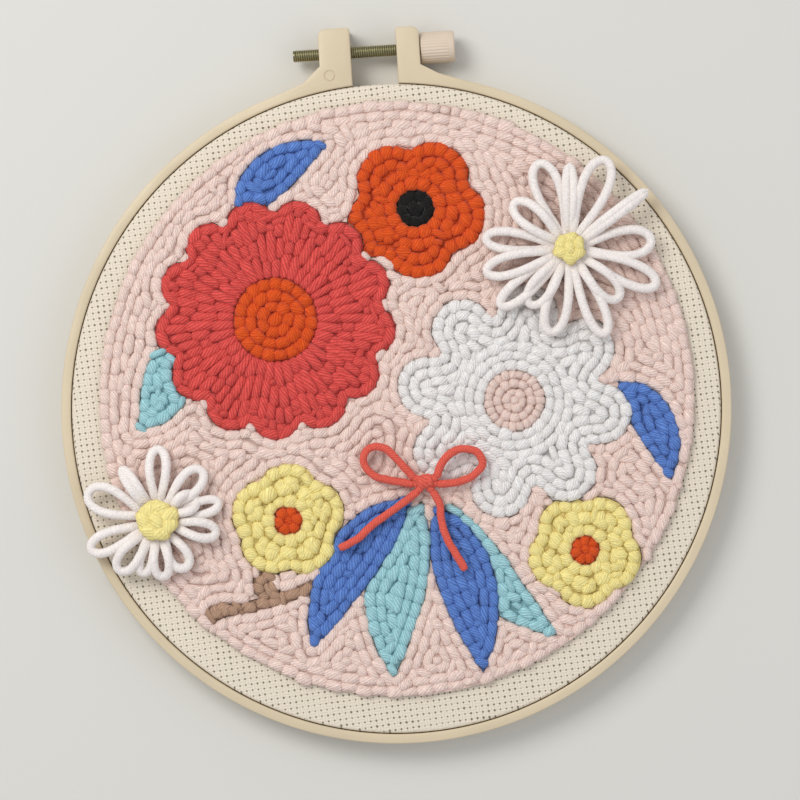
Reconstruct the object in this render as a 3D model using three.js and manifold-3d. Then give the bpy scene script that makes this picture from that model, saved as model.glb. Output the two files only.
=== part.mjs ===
// A punch needle flower picture, held in a round plastic embroidery hoop with a clamp screw.
// It lies on its back: +Z points out of its face and +Y towards the screw. Sizes are in millimetres.

import * as THREE from 'three';
import { mergeVertices } from 'three/addons/utils/BufferGeometryUtils.js';
import Module from 'manifold-3d';

// Hoop
const HOOP_DIAMETER = 210;
const RING_WALL = 3;
const RING_HEIGHT = 11;
const RING_EDGE = 0.6;
const RING_SEGMENTS = 72;
const CLOTH_THICKNESS = 1;
const CLOTH_EDGE = 1.2;
const CLOTH_EDGE_MIDDLE = 0.3;
const CLOTH_CLEARS_FLOOR = 0.6;
const GAP = 0.3;
// How far a cutter reaches past what it cuts
const CUTTER_OVERRUN = 1;

// Lugs of the outer ring, each side of its split, and the clamp screw through them
const LUG_RISE = 15.5;
const SPLIT_WIDTH = 14.4;
const LEFT_LUG = { side: -1, width: 10, webRise: 3.5 };
const RIGHT_LUG = { side: 1, width: 7.3, webRise: 2.2 };
const LUG_CORNER = 1.6;
const LUG_WEB = { run: 5.5, rise: 1, foot: 14, sink: 0.2 };
const SCREW_RADIUS = 1.85;
const SCREW_RISE = 7.7;
const SCREW_TIP = -25.4;
const SCREW_SIDES = 16;
const KNOB_RADIUS = 5;
const KNOB_LENGTH = 10.7;
const KNOB_RIDGES = 24;
const KNOB_RIDGE_DEPTH = 0.35;
const KNOB_SOCKET_DEPTH = 7;
const EJECTOR_MARK = { x: -14.2, rise: 0.9, radius: 1.6, groove: 0.35, depth: 0.3 };

// Pile
const PILE_RADIUS = 93;
const PILE_CENTRE = { x: 0.4, y: 3 };
const PILE_EDGE = 0.9;
const BACK_LOOPS = { length: 4, taper: 1.5, drop: 1, sides: 60 };
const YARN_RADIUS = 1.4;

// Sizes that follow from the ones above
const HOOP_RADIUS = HOOP_DIAMETER / 2;
const OUTER_RING_INSIDE = HOOP_RADIUS - RING_WALL;
const CLOTH_RADIUS = OUTER_RING_INSIDE - GAP;
const INNER_RING_RADIUS = CLOTH_RADIUS - CLOTH_THICKNESS - GAP;
const INNER_RING_HEIGHT = RING_HEIGHT - CLOTH_THICKNESS - GAP;
const CLOTH_TOP = RING_HEIGHT;
const PILE_FLOOR = CLOTH_TOP + GAP;
const RING_TOP_EDGE = RING_EDGE * 1.5;
const SCREW_Y = HOOP_RADIUS + SCREW_RISE;
const SCREW_Z = RING_HEIGHT / 2;
const LUG_TOP = HOOP_RADIUS + LUG_RISE;
const KNOB_FACE = SPLIT_WIDTH / 2 + RIGHT_LUG.width + GAP;

const YARNS = {
  pink: '#f0cdc3',
  coral: '#d8504e',
  white: '#e9e7e3',
  orange: '#e25a1c',
  yellow: '#f1df86',
  blue: '#4a72c4',
  light_blue: '#8ccdd3',
  brown: '#a98769',
  black: '#231f1c',
  bow: '#e0625a',
};

// The picture, from the front to the back. What lies in front is cut out of what lies behind it.
// Places are taken from the hoop's centre, turns are in degrees, and pile is the stitches' height.
const MOTIFS = [
  { node: 'dahlia_heart', kind: 'disc', yarn: 'orange', x: -36, y: 30, radius: 13, pile: 3.2 },
  { node: 'dahlia_petals', kind: 'rosette', yarn: 'coral', x: -36, y: 30, radius: 38, pile: 2.9,
    petals: 13, notch: 0.15, turn: 4 },
  { node: 'cosmos_heart', kind: 'disc', yarn: 'pink', x: 37, y: 0, radius: 9.5, pile: 3 },
  { node: 'cosmos_petals', kind: 'rosette', yarn: 'white', x: 37, y: 0, radius: 37, pile: 2.9,
    petals: 8, notch: 0.3, turn: 10 },
  { node: 'poppy_heart', kind: 'disc', yarn: 'black', x: 10, y: 62, radius: 6, pile: 2.4 },
  { node: 'poppy_petals', kind: 'rosette', yarn: 'orange', x: 10, y: 62, radius: 22, pile: 3.2,
    petals: 5, notch: 0.2, turn: 20 },
  { node: 'buttercup_left_heart', kind: 'disc', yarn: 'orange', x: -36, y: -33, radius: 4.6, pile: 3.2 },
  { node: 'buttercup_left', kind: 'rosette', yarn: 'yellow', x: -36, y: -33, radius: 18, pile: 3.3,
    petals: 5, notch: 0.18, turn: 50 },
  { node: 'buttercup_right_heart', kind: 'disc', yarn: 'orange', x: 56, y: -48, radius: 4.6, pile: 3.2 },
  { node: 'buttercup_right', kind: 'rosette', yarn: 'yellow', x: 56, y: -48, radius: 18, pile: 3.3,
    petals: 5, notch: 0.18, turn: 14 },
  { node: 'leaf_low_left', kind: 'leaf', yarn: 'blue', x: 3, y: -28, tipX: -31, tipY: -74,
    width: 17, bend: -5, pile: 2.8 },
  { node: 'leaf_low_middle', kind: 'leaf', yarn: 'light_blue', x: 6, y: -30, tipX: -6, tipY: -84,
    width: 19, bend: -4, pile: 2.8 },
  { node: 'leaf_low_right', kind: 'leaf', yarn: 'blue', x: 10, y: -31, tipX: 22, tipY: -84,
    width: 18, bend: 3, pile: 2.8 },
  { node: 'leaf_far_right', kind: 'leaf', yarn: 'light_blue', x: 14, y: -30, tipX: 46, tipY: -74,
    width: 15, bend: -5, pile: 2.8 },
  { node: 'leaf_left', kind: 'leaf', yarn: 'light_blue', x: -70, y: 26, tipX: -81, tipY: -2,
    width: 15, bend: 4, pile: 2.8 },
  { node: 'leaf_top_left', kind: 'leaf', yarn: 'blue', x: -46, y: 62, tipX: -16, tipY: 84,
    width: 14, bend: 4, pile: 2.8 },
  { node: 'leaf_right', kind: 'leaf', yarn: 'blue', x: 70, y: 4, tipX: 84, tipY: -28,
    width: 13, bend: 4, pile: 2.8 },
  { node: 'sprig', kind: 'sprig', yarn: 'brown', x: 0, y: -33, tipX: -60, tipY: -60,
    width: 3.4, bend: 7, buds: 4, budRadius: 3.2, budReach: 5.5, pile: 2.6 },
  { node: 'ground', kind: 'disc', yarn: 'pink', x: PILE_CENTRE.x, y: PILE_CENTRE.y,
    radius: PILE_RADIUS, pile: 2.5 },
];
const DISC_POINTS = { apart: 2, least: 12, most: 80 };
const PETAL_POINTS = 6;
const PETAL_FULLNESS = 0.6;
const LEAF_POINTS = 7;
const LEAF_BELLY = 0.85;
const LEAF_FULLNESS = 0.8;
const SIDE_BUD_GROWTH = 0.2;

// The two daisies are loops of yarn, tied down under a knotted heart.
// angle is the way a petal points, reach its tip's distance from the heart's middle, width its
// widest part over the yarn, and rise how far its middle stands above the pile under it.
const DAISIES = [
  {
    name: 'daisy_upper', x: 57, y: 46.1, pile: 2.9, heartRadius: 5, heartHeight: 3.2, petals: [
      { angle: 2, reach: 27, width: 10.5, rise: 1.6 },
      { angle: 33, reach: 31, width: 3.4, rise: 4.2 },
      { angle: 64, reach: 31, width: 10.5, rise: 2.6 },
      { angle: 86, reach: 27, width: 4.4, rise: 3.8 },
      { angle: 106, reach: 29.5, width: 10, rise: 1.2 },
      { angle: 137, reach: 23.5, width: 8.5, rise: 2.8 },
      { angle: 169, reach: 27.5, width: 8, rise: 1.4 },
      { angle: 192, reach: 28, width: 8, rise: 2.8 },
      { angle: 216, reach: 29, width: 7.5, rise: 1 },
      { angle: 231, reach: 22.5, width: 8.5, rise: 3.4 },
      { angle: 254, reach: 28, width: 9, rise: 1.6 },
      { angle: 289, reach: 30, width: 8, rise: 1.2 },
      { angle: 311, reach: 23, width: 8.5, rise: 3 },
      { angle: 334, reach: 30.5, width: 9, rise: 1.6 },
    ],
  },
  {
    name: 'daisy_lower', x: -76.4, y: -30.2, pile: 2.5, heartRadius: 6.6, heartHeight: 3.6, petals: [
      { angle: 12, reach: 21, width: 6.5, rise: 1.2 },
      { angle: 27, reach: 15, width: 7.5, rise: 3.6 },
      { angle: 45, reach: 22, width: 8.5, rise: 1.4 },
      { angle: 86, reach: 23.5, width: 7.5, rise: 2.2 },
      { angle: 121, reach: 20.5, width: 4.2, rise: 3.8 },
      { angle: 155, reach: 24.5, width: 10, rise: 1.6 },
      { angle: 200, reach: 24, width: 8, rise: 1.4 },
      { angle: 229, reach: 21, width: 8, rise: 2.2 },
      { angle: 251, reach: 18.5, width: 6, rise: 1.2 },
      { angle: 272, reach: 19, width: 7, rise: 2.4 },
      { angle: 297, reach: 18.5, width: 8, rise: 1.2 },
      { angle: 344, reach: 20, width: 7, rise: 2.2 },
    ],
  },
];
const PETAL_STEPS = 9;
const PETAL_SIDES = 4;
const PETAL_LOOP = { swell: 1.3, spare: 0.35, roundness: 1.4, crest: 0.9, arch: 1.5 };
const PETAL_ROOT_INSET = 2;
const PETAL_ROOT_PART = 0.37;
const PETAL_STAGGER = 0.41;
const PETAL_LAYERS = 3;
const DAISY_BACK = { thickness: 3.8, sides: 16, margin: 1.2 };
const HEART_BUMPS = { columns: 12, rows: 7, height: 0.5, waves: 5, shift: 0.6 };

// The bow lies on the pile: a knot, two loops and two free ends, as points of their centre lines.
const BOW_KNOT = { x: 7.6, y: -23.4, z: 16.6, length: 5.6, width: 4.6, height: 4.2, columns: 12, rows: 8 };
const BOW_SIDES = 8;
const BOW_CORDS = [
  { node: 'bow_loop_left', steps: 16, points: [
    [4.2, -22.2, 16.9], [0.6, -17.6, 17.5], [-4.4, -12.3, 17.4], [-9.4, -12.2, 17.0],
    [-11.2, -16.2, 16.6], [-8.2, -20.6, 16.3], [-2.4, -22.6, 16.2], [4.2, -24.0, 16.2]] },
  { node: 'bow_loop_right', steps: 16, points: [
    [11.1, -22.4, 16.9], [13.6, -17.4, 17.5], [18.3, -14.2, 17.5], [23.8, -15.0, 17.0],
    [25.8, -19.0, 16.6], [22.2, -22.8, 16.3], [16.6, -24.4, 16.2], [11.1, -24.4, 16.2]] },
  { node: 'bow_end_left', steps: 14, points: [
    [5.2, -26.3, 16.2], [1.0, -29.2, 16.2], [-4.4, -32.6, 16.2], [-9.8, -36.0, 16.2],
    [-14.4, -39.8, 16.1], [-20.4, -42.6, 16.0]] },
  { node: 'bow_end_right', steps: 14, points: [
    [9.6, -26.5, 16.2], [11.6, -30.6, 16.2], [11.9, -36.0, 16.2], [13.2, -41.4, 16.2],
    [15.6, -46.4, 16.1], [18.4, -51.8, 16.0]] },
];

const wasm = await Module();
wasm.setup();

// Joining and cutting closed solids

function solidOf(geometry) {
  const bare = new THREE.BufferGeometry();
  bare.setAttribute('position', geometry.attributes.position.clone());
  bare.setIndex(geometry.index);
  const merged = mergeVertices(bare, 1e-4);
  const corners = merged.index.array;
  const kept = [];
  for (let i = 0; i < corners.length; i += 3) {
    const [a, b, c] = [corners[i], corners[i + 1], corners[i + 2]];
    if (a !== b && b !== c && c !== a) kept.push(a, b, c);
  }
  return new wasm.Manifold(new wasm.Mesh({
    numProp: 3,
    vertProperties: new Float32Array(merged.attributes.position.array),
    triVerts: new Uint32Array(kept),
  }));
}

function geometryOf(solid) {
  const mesh = solid.getMesh();
  const geometry = new THREE.BufferGeometry();
  geometry.setAttribute('position', new THREE.BufferAttribute(new Float32Array(mesh.vertProperties), 3));
  geometry.setIndex([...mesh.triVerts]);
  geometry.computeVertexNormals();
  return geometry;
}

function joined(solids) {
  return solids.reduce((sum, solid) => sum.add(solid));
}

// Cutting can leave a sliver beside the piece that is wanted.
function largestBody(solid) {
  return solid.decompose().reduce((most, body) => (body.volume() > most.volume() ? body : most));
}

// Shapes that several parts use

function ringGeometry(profile) {
  const points = profile.map(([radius, z]) => new THREE.Vector2(radius, z));
  return new THREE.LatheGeometry(points, RING_SEGMENTS).rotateX(Math.PI / 2);
}

function rodGeometry(radius, fromX, toX, y, z) {
  const rod = new THREE.CylinderGeometry(radius, radius, toX - fromX, SCREW_SIDES).rotateZ(Math.PI / 2);
  return rod.translate((fromX + toX) / 2, y, z);
}

function discSolid(radius, sides, x, y, lowZ, highZ) {
  const disc = new THREE.CylinderGeometry(radius, radius, highZ - lowZ, sides).rotateX(Math.PI / 2);
  return solidOf(disc.translate(x, y, (lowZ + highZ) / 2));
}

// The hoop

function innerRing() {
  const outside = INNER_RING_RADIUS;
  const inside = INNER_RING_RADIUS - RING_WALL;
  const top = INNER_RING_HEIGHT;
  return ringGeometry([
    [inside, 0], [outside, 0], [outside, top - RING_EDGE], [outside - RING_EDGE, top],
    [inside + RING_EDGE, top], [inside, top - RING_EDGE], [inside, 0],
  ]);
}

function cloth() {
  const under = CLOTH_TOP - CLOTH_THICKNESS;
  const inside = CLOTH_RADIUS - CLOTH_THICKNESS;
  return geometryOf(solidOf(ringGeometry([
    [0, under], [inside - RING_EDGE, under], [inside, under - RING_EDGE], [inside, CLOTH_CLEARS_FLOOR],
    [CLOTH_RADIUS, CLOTH_CLEARS_FLOOR], [CLOTH_RADIUS, CLOTH_TOP - CLOTH_EDGE],
    [CLOTH_RADIUS - CLOTH_EDGE * CLOTH_EDGE_MIDDLE, CLOTH_TOP - CLOTH_EDGE * CLOTH_EDGE_MIDDLE],
    [CLOTH_RADIUS - CLOTH_EDGE, CLOTH_TOP], [0, CLOTH_TOP],
  ])));
}

// A lug's outline, from its foot in the ring up to its rounded top; side is -1 left and 1 right.
function lugOutline({ side, width, webRise }) {
  const near = SPLIT_WIDTH / 2;
  const far = near + width;
  const shoulder = HOOP_RADIUS + webRise;
  const slopeEnd = far + LUG_WEB.run;
  const foot = far + LUG_WEB.foot;
  const shape = new THREE.Shape();
  shape.moveTo(side * near, OUTER_RING_INSIDE - RING_WALL);
  shape.lineTo(side * near, LUG_TOP - LUG_CORNER / 2);
  shape.quadraticCurveTo(side * near, LUG_TOP, side * (near + LUG_CORNER / 2), LUG_TOP);
  shape.lineTo(side * (far - LUG_CORNER), LUG_TOP);
  shape.quadraticCurveTo(side * far, LUG_TOP, side * far, LUG_TOP - LUG_CORNER);
  shape.lineTo(side * far, shoulder);
  shape.lineTo(side * slopeEnd, Math.sqrt(HOOP_RADIUS ** 2 - slopeEnd ** 2) + LUG_WEB.rise);
  shape.lineTo(side * foot, Math.sqrt(HOOP_RADIUS ** 2 - foot ** 2) - LUG_WEB.sink);
  shape.lineTo(side * foot, OUTER_RING_INSIDE - 3 * RING_WALL);
  shape.closePath();
  return shape;
}

function lug(kind) {
  const plate = new THREE.ExtrudeGeometry(lugOutline(kind), {
    depth: RING_HEIGHT - RING_EDGE, curveSegments: 3, bevelThickness: RING_EDGE / 2,
    bevelSize: RING_EDGE / 2, bevelOffset: -RING_EDGE / 2, bevelSegments: 1,
  });
  return solidOf(plate.translate(0, 0, RING_EDGE / 2));
}

function ejectorGroove() {
  const y = HOOP_RADIUS + EJECTOR_MARK.rise;
  const low = RING_HEIGHT - EJECTOR_MARK.depth;
  const high = RING_HEIGHT + CUTTER_OVERRUN;
  const outer = discSolid(EJECTOR_MARK.radius, SCREW_SIDES, EJECTOR_MARK.x, y, low, high);
  const island = EJECTOR_MARK.radius - EJECTOR_MARK.groove;
  const past = CUTTER_OVERRUN;
  return outer.subtract(discSolid(island, SCREW_SIDES, EJECTOR_MARK.x, y, low - past, high + past));
}

function outerRing() {
  const inside = OUTER_RING_INSIDE;
  const ring = solidOf(ringGeometry([
    [inside, 0], [HOOP_RADIUS - RING_EDGE, 0], [HOOP_RADIUS, RING_EDGE],
    [HOOP_RADIUS, RING_HEIGHT - RING_TOP_EDGE], [HOOP_RADIUS - RING_TOP_EDGE, RING_HEIGHT],
    [inside + RING_EDGE / 2, RING_HEIGHT], [inside, RING_HEIGHT - RING_EDGE / 2], [inside, 0],
  ]));
  const middle = solidOf(new THREE.CylinderGeometry(inside, inside, 4 * RING_HEIGHT, RING_SEGMENTS)
    .rotateX(Math.PI / 2));
  const split = solidOf(new THREE.BoxGeometry(SPLIT_WIDTH, 4 * RING_WALL, 4 * RING_HEIGHT)
    .translate(0, HOOP_RADIUS, 0));
  const bore = solidOf(rodGeometry(SCREW_RADIUS + GAP, -HOOP_RADIUS, HOOP_RADIUS, SCREW_Y, SCREW_Z));
  const lugs = lug(LEFT_LUG).add(lug(RIGHT_LUG)).subtract(middle);
  return geometryOf(ring.add(lugs).subtract(split).subtract(bore).subtract(ejectorGroove()));
}

function screw() {
  return rodGeometry(SCREW_RADIUS, SCREW_TIP, KNOB_FACE + KNOB_SOCKET_DEPTH - GAP, SCREW_Y, SCREW_Z);
}

function knob() {
  const outline = [];
  for (let i = 0; i < 2 * KNOB_RIDGES; i += 1) {
    const angle = (i * Math.PI) / KNOB_RIDGES;
    const radius = KNOB_RADIUS - (i % 2) * KNOB_RIDGE_DEPTH;
    outline.push(new THREE.Vector2(radius * Math.cos(angle), radius * Math.sin(angle)));
  }
  const body = new THREE.ExtrudeGeometry(new THREE.Shape(outline), {
    depth: KNOB_LENGTH - RING_EDGE, bevelThickness: RING_EDGE / 2, bevelSize: RING_EDGE / 2,
    bevelOffset: -RING_EDGE / 2, bevelSegments: 1,
  });
  body.translate(0, 0, RING_EDGE / 2).rotateY(Math.PI / 2).translate(KNOB_FACE, SCREW_Y, SCREW_Z);
  const socketEnd = KNOB_FACE + KNOB_SOCKET_DEPTH;
  const socketStart = KNOB_FACE - CUTTER_OVERRUN;
  const socket = rodGeometry(SCREW_RADIUS + GAP, socketStart, socketEnd, SCREW_Y, SCREW_Z);
  return geometryOf(solidOf(body).subtract(solidOf(socket)));
}

// Outlines of the picture's motifs

// A disc has a multiple of four points, so that it reaches its full radius each way.
function discOutline({ x, y, radius }) {
  const wanted = 4 * Math.round((2 * Math.PI * radius) / DISC_POINTS.apart / 4);
  const count = THREE.MathUtils.clamp(wanted, DISC_POINTS.least, DISC_POINTS.most);
  return Array.from({ length: count }, (_, i) => {
    const angle = (2 * Math.PI * i) / count;
    return new THREE.Vector2(x + radius * Math.cos(angle), y + radius * Math.sin(angle));
  });
}

// Petals bulge between notches, which lie at a share of the radius.
function rosetteOutline({ x, y, radius, petals, notch, turn }) {
  const count = petals * PETAL_POINTS;
  return Array.from({ length: count }, (_, i) => {
    const along = (i % PETAL_POINTS) / PETAL_POINTS;
    const angle = THREE.MathUtils.degToRad(turn) + (2 * Math.PI * i) / count;
    const reach = radius * (1 - notch * (1 - Math.sin(Math.PI * along) ** PETAL_FULLNESS));
    return new THREE.Vector2(x + reach * Math.cos(angle), y + reach * Math.sin(angle));
  });
}

// The middle line of a leaf or sprig, bent sideways between its base and its tip.
function middleLine({ x, y, tipX, tipY, bend }) {
  const base = new THREE.Vector2(x, y);
  const tip = new THREE.Vector2(tipX, tipY);
  const across = tip.clone().sub(base).normalize();
  const middle = base.clone().add(tip).multiplyScalar(0.5);
  middle.add(new THREE.Vector2(-across.y, across.x).multiplyScalar(2 * bend));
  return new THREE.QuadraticBezierCurve(base, middle, tip);
}

function sideways(curve, share) {
  const tangent = curve.getTangent(share);
  return new THREE.Vector2(-tangent.y, tangent.x);
}

function leafOutline(motif) {
  const curve = middleLine(motif);
  const sides = [[], []];
  for (let i = 1; i < LEAF_POINTS; i += 1) {
    const share = i / LEAF_POINTS;
    const half = (motif.width / 2) * Math.sin(Math.PI * share ** LEAF_BELLY) ** LEAF_FULLNESS;
    const out = sideways(curve, share).multiplyScalar(half);
    sides[0].push(curve.getPoint(share).add(out));
    sides[1].unshift(curve.getPoint(share).sub(out));
  }
  return [curve.getPoint(0), ...sides[0], curve.getPoint(1), ...sides[1]];
}

function sprigOutlines(motif) {
  const curve = middleLine(motif);
  const sides = [[], []];
  for (let i = 0; i <= LEAF_POINTS; i += 1) {
    const share = i / LEAF_POINTS;
    const out = sideways(curve, share).multiplyScalar(motif.width / 2);
    sides[0].push(curve.getPoint(share).add(out));
    sides[1].unshift(curve.getPoint(share).sub(out));
  }
  const outlines = [[...sides[0], ...sides[1]]];
  for (let i = 1; i <= motif.buds; i += 1) {
    const share = i / motif.buds;
    const side = i % 2 === 0 ? 1 : -1;
    const reach = i === motif.buds ? 0 : side * motif.budReach;
    const place = curve.getPoint(share).add(sideways(curve, share).multiplyScalar(reach));
    const radius = motif.budRadius + Math.abs(reach) * SIDE_BUD_GROWTH;
    outlines.push(discOutline({ x: place.x, y: place.y, radius }));
  }
  return outlines;
}

function outlinesOf(motif) {
  if (motif.kind === 'disc') return [discOutline(motif)];
  if (motif.kind === 'rosette') return [rosetteOutline(motif)];
  if (motif.kind === 'leaf') return [leafOutline(motif)];
  return sprigOutlines(motif);
}

function clockwiseFixed(outline) {
  return THREE.ShapeUtils.isClockWise(outline) ? [...outline].reverse() : outline;
}

// A patch of pile has an outline, a flat back on the cloth and rounded edges.
function patchSolid(motif) {
  return joined(outlinesOf(motif).map((outline) => {
    const patch = new THREE.ExtrudeGeometry(new THREE.Shape(clockwiseFixed(outline)), {
      depth: motif.pile - 2 * PILE_EDGE, bevelThickness: PILE_EDGE, bevelSize: PILE_EDGE,
      bevelOffset: -PILE_EDGE, bevelSegments: 1,
    });
    return solidOf(patch.translate(0, 0, PILE_FLOOR + PILE_EDGE));
  }));
}

// What a motif cuts from the pile behind it: its own outline and a gap, flared at the top so that
// the edge left there is rounded too.
function cutterSolid(motif, pile) {
  return joined(outlinesOf(motif).map((outline) => {
    const cutter = new THREE.ExtrudeGeometry(new THREE.Shape(clockwiseFixed(outline)), {
      depth: pile, bevelThickness: PILE_EDGE + GAP, bevelSize: -PILE_EDGE,
      bevelOffset: PILE_EDGE + GAP, bevelSegments: 1,
    });
    return solidOf(cutter.translate(0, 0, PILE_FLOOR - PILE_EDGE));
  }));
}

function motifGeometry(index) {
  const motif = MOTIFS[index];
  const infront = MOTIFS.slice(0, index);
  const whole = patchSolid(motif);
  const left = infront.reduce((rest, other) => rest.subtract(cutterSolid(other, motif.pile)), whole);
  return geometryOf(largestBody(left));
}

// The loops that the needle leaves behind the cloth, as one layer that narrows away from it
function backLoops() {
  const { length, taper, drop, sides } = BACK_LOOPS;
  const top = CLOTH_TOP - CLOTH_THICKNESS - GAP;
  const layer = new THREE.CylinderGeometry(PILE_RADIUS, PILE_RADIUS - taper, length, sides)
    .rotateX(Math.PI / 2);
  return layer.translate(PILE_CENTRE.x, PILE_CENTRE.y - drop, top - length / 2);
}

// Daisies

function petalCurve(daisy, petal, index) {
  const { swell, spare, roundness, crest, arch } = PETAL_LOOP;
  const angle = THREE.MathUtils.degToRad(petal.angle);
  const floor = PILE_FLOOR + daisy.pile + GAP + YARN_RADIUS;
  const root = daisy.heartRadius - PETAL_ROOT_INSET;
  const points = [];
  for (let i = 0; i <= PETAL_STEPS; i += 1) {
    const turn = (2 * Math.PI * i) / PETAL_STEPS;
    const out = (1 - Math.cos(turn)) / 2;
    const along = root + (petal.reach - YARN_RADIUS - root) * out;
    const half = swell * (petal.width / 2 - YARN_RADIUS) + spare;
    const parted = PETAL_ROOT_PART * Math.cos(turn / 2);
    const aside = half * Math.sin(turn) * Math.sin(turn / 2) ** roundness + parted;
    const rise = petal.rise * Math.sin(Math.PI * out * crest) ** arch;
    points.push(new THREE.Vector3(
      daisy.x + along * Math.cos(angle) - aside * Math.sin(angle),
      daisy.y + along * Math.sin(angle) + aside * Math.cos(angle),
      floor + rise + PETAL_STAGGER * (index % PETAL_LAYERS),
    ));
  }
  return new THREE.CatmullRomCurve3(points);
}

function strandGeometry(curve, radius, sides, steps) {
  const section = new THREE.Shape(Array.from({ length: sides }, (_, i) => {
    const angle = (2 * Math.PI * (i + 0.5)) / sides;
    return new THREE.Vector2(radius * Math.cos(angle), radius * Math.sin(angle));
  }));
  return new THREE.ExtrudeGeometry(section, { steps, extrudePath: curve });
}

function daisyPetals(daisy) {
  const low = PILE_FLOOR + daisy.pile + GAP;
  const high = low + DAISY_BACK.thickness;
  const { sides, margin } = DAISY_BACK;
  const back = discSolid(daisy.heartRadius + margin, sides, daisy.x, daisy.y, low, high);
  const loops = daisy.petals.map((petal, index) => solidOf(
    strandGeometry(petalCurve(daisy, petal, index), YARN_RADIUS, PETAL_SIDES, PETAL_STEPS)));
  return geometryOf(largestBody(joined([back, ...loops])));
}

// A dome of knots
function daisyHeart(daisy) {
  const { columns, rows, height, waves, shift } = HEART_BUMPS;
  const dome = new THREE.SphereGeometry(1, columns, rows).rotateX(Math.PI / 2);
  const place = dome.attributes.position;
  const floor = PILE_FLOOR + daisy.pile + GAP + DAISY_BACK.thickness + GAP;
  for (let i = 0; i < place.count; i += 1) {
    const [x, y, z] = [place.getX(i), place.getY(i), place.getZ(i)];
    const bump = height * Math.sin(waves * x + shift) * Math.sin(waves * y);
    const reach = daisy.heartRadius - height + bump;
    place.setXYZ(i, daisy.x + x * reach, daisy.y + y * reach,
      floor + Math.max(0, z) * (daisy.heartHeight + bump));
  }
  return dome;
}

// Bow

function bowCord(cord) {
  const curve = new THREE.CatmullRomCurve3(cord.points.map((point) => new THREE.Vector3(...point)));
  return strandGeometry(curve, YARN_RADIUS, BOW_SIDES, cord.steps);
}

function bowKnot() {
  const knot = new THREE.SphereGeometry(1 / 2, BOW_KNOT.columns, BOW_KNOT.rows);
  knot.scale(BOW_KNOT.length, BOW_KNOT.width, BOW_KNOT.height);
  return knot.translate(BOW_KNOT.x, BOW_KNOT.y, BOW_KNOT.z);
}

// The whole picture, with the middle of its outline over the origin

function part(name, geometry, finish) {
  const mesh = new THREE.Mesh(geometry, new THREE.MeshStandardMaterial(finish));
  mesh.name = name;
  return mesh;
}

const hoopPlastic = { color: '#e1d4be', roughness: 0.5, metalness: 0 };
const steel = { color: '#6e6950', roughness: 0.4, metalness: 0.9 };
const yarn = (name) => ({ color: YARNS[name], roughness: 0.95, metalness: 0 });

const picture = new THREE.Group();
picture.position.y = -LUG_RISE / 2;
picture.add(
  part('outer_ring', outerRing(), hoopPlastic),
  part('inner_ring', innerRing(), hoopPlastic),
  part('screw', screw(), steel),
  part('knob', knob(), { ...hoopPlastic, color: '#e2cfba' }),
  part('cloth', cloth(), { color: '#e4decf', roughness: 0.95, metalness: 0 }),
  part('back_loops', backLoops(), yarn('pink')),
);
MOTIFS.forEach((motif, index) => {
  picture.add(part(motif.node, motifGeometry(index), yarn(motif.yarn)));
});
DAISIES.forEach((daisy) => {
  picture.add(part(`${daisy.name}_petals`, daisyPetals(daisy), yarn('white')));
  picture.add(part(`${daisy.name}_heart`, daisyHeart(daisy), yarn('yellow')));
});
picture.add(part('bow_knot', bowKnot(), yarn('bow')));
BOW_CORDS.forEach((cord) => {
  picture.add(part(cord.node, bowCord(cord), yarn('bow')));
});

const hoopPicture = new THREE.Group();
hoopPicture.add(picture);

export default hoopPicture;
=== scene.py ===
"""A punch needle picture of a flower posy, held in the plastic hoop that it was worked in.

Each operator models one piece, or one group of like pieces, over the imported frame. Sizes are in
metres. The picture lies on its back: +Z comes out of its face and +Y points to the clamp screw.
"""
import math

import bmesh
import bpy
import numpy as np
from bpy.props import FloatProperty, FloatVectorProperty, IntProperty, PointerProperty
from mathutils import Matrix, Vector


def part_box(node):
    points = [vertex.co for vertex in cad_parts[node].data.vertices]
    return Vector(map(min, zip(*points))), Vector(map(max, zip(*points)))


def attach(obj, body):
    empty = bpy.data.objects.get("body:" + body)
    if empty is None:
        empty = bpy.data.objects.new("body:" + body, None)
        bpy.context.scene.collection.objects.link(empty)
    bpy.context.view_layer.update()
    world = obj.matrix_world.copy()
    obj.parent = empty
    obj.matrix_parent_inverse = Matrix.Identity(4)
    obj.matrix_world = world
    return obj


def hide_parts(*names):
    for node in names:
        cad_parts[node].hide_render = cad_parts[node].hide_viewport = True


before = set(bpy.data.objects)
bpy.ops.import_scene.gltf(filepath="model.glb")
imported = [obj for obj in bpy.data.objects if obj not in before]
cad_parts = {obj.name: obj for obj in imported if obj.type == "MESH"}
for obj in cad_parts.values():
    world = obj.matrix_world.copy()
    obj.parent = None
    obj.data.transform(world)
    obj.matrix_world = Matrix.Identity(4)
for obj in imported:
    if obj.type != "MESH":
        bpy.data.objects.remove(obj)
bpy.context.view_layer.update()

bl_info = {
    "name": "Punch needle picture in a hoop",
    "version": (1, 0, 0),
    "blender": (4, 5, 0),
    "location": "3D Viewport > Sidebar > Needle picture",
    "description": "Models a punch needle picture with its cloth, yarn and embroidery hoop",
    "category": "Add Mesh",
}

SEED = 21


def centre_of(node):
    low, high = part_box(node)
    return (low + high) / 2


def linear(code):
    """The linear colour of a usual screen colour, such as e25a1c."""
    shares = [int(code[i:i + 2], 16) / 255 for i in (0, 2, 4)]
    return [s / 12.92 if s <= 0.04045 else ((s + 0.055) / 1.055) ** 2.4 for s in shares]


# The hoop's own sizes, read from the frame

HOOP_CENTRE = centre_of("inner_ring")
RING_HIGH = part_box("outer_ring")[1]
HOOP_RADIUS = RING_HIGH.x
RING_HEIGHT = RING_HIGH.z
RING_WALL = 0.003
RING_INSIDE = HOOP_RADIUS - RING_WALL
LUG_TOP = RING_HIGH.y
SCREW_AXIS = centre_of("screw")
SCREW_LOW, SCREW_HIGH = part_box("screw")
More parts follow.
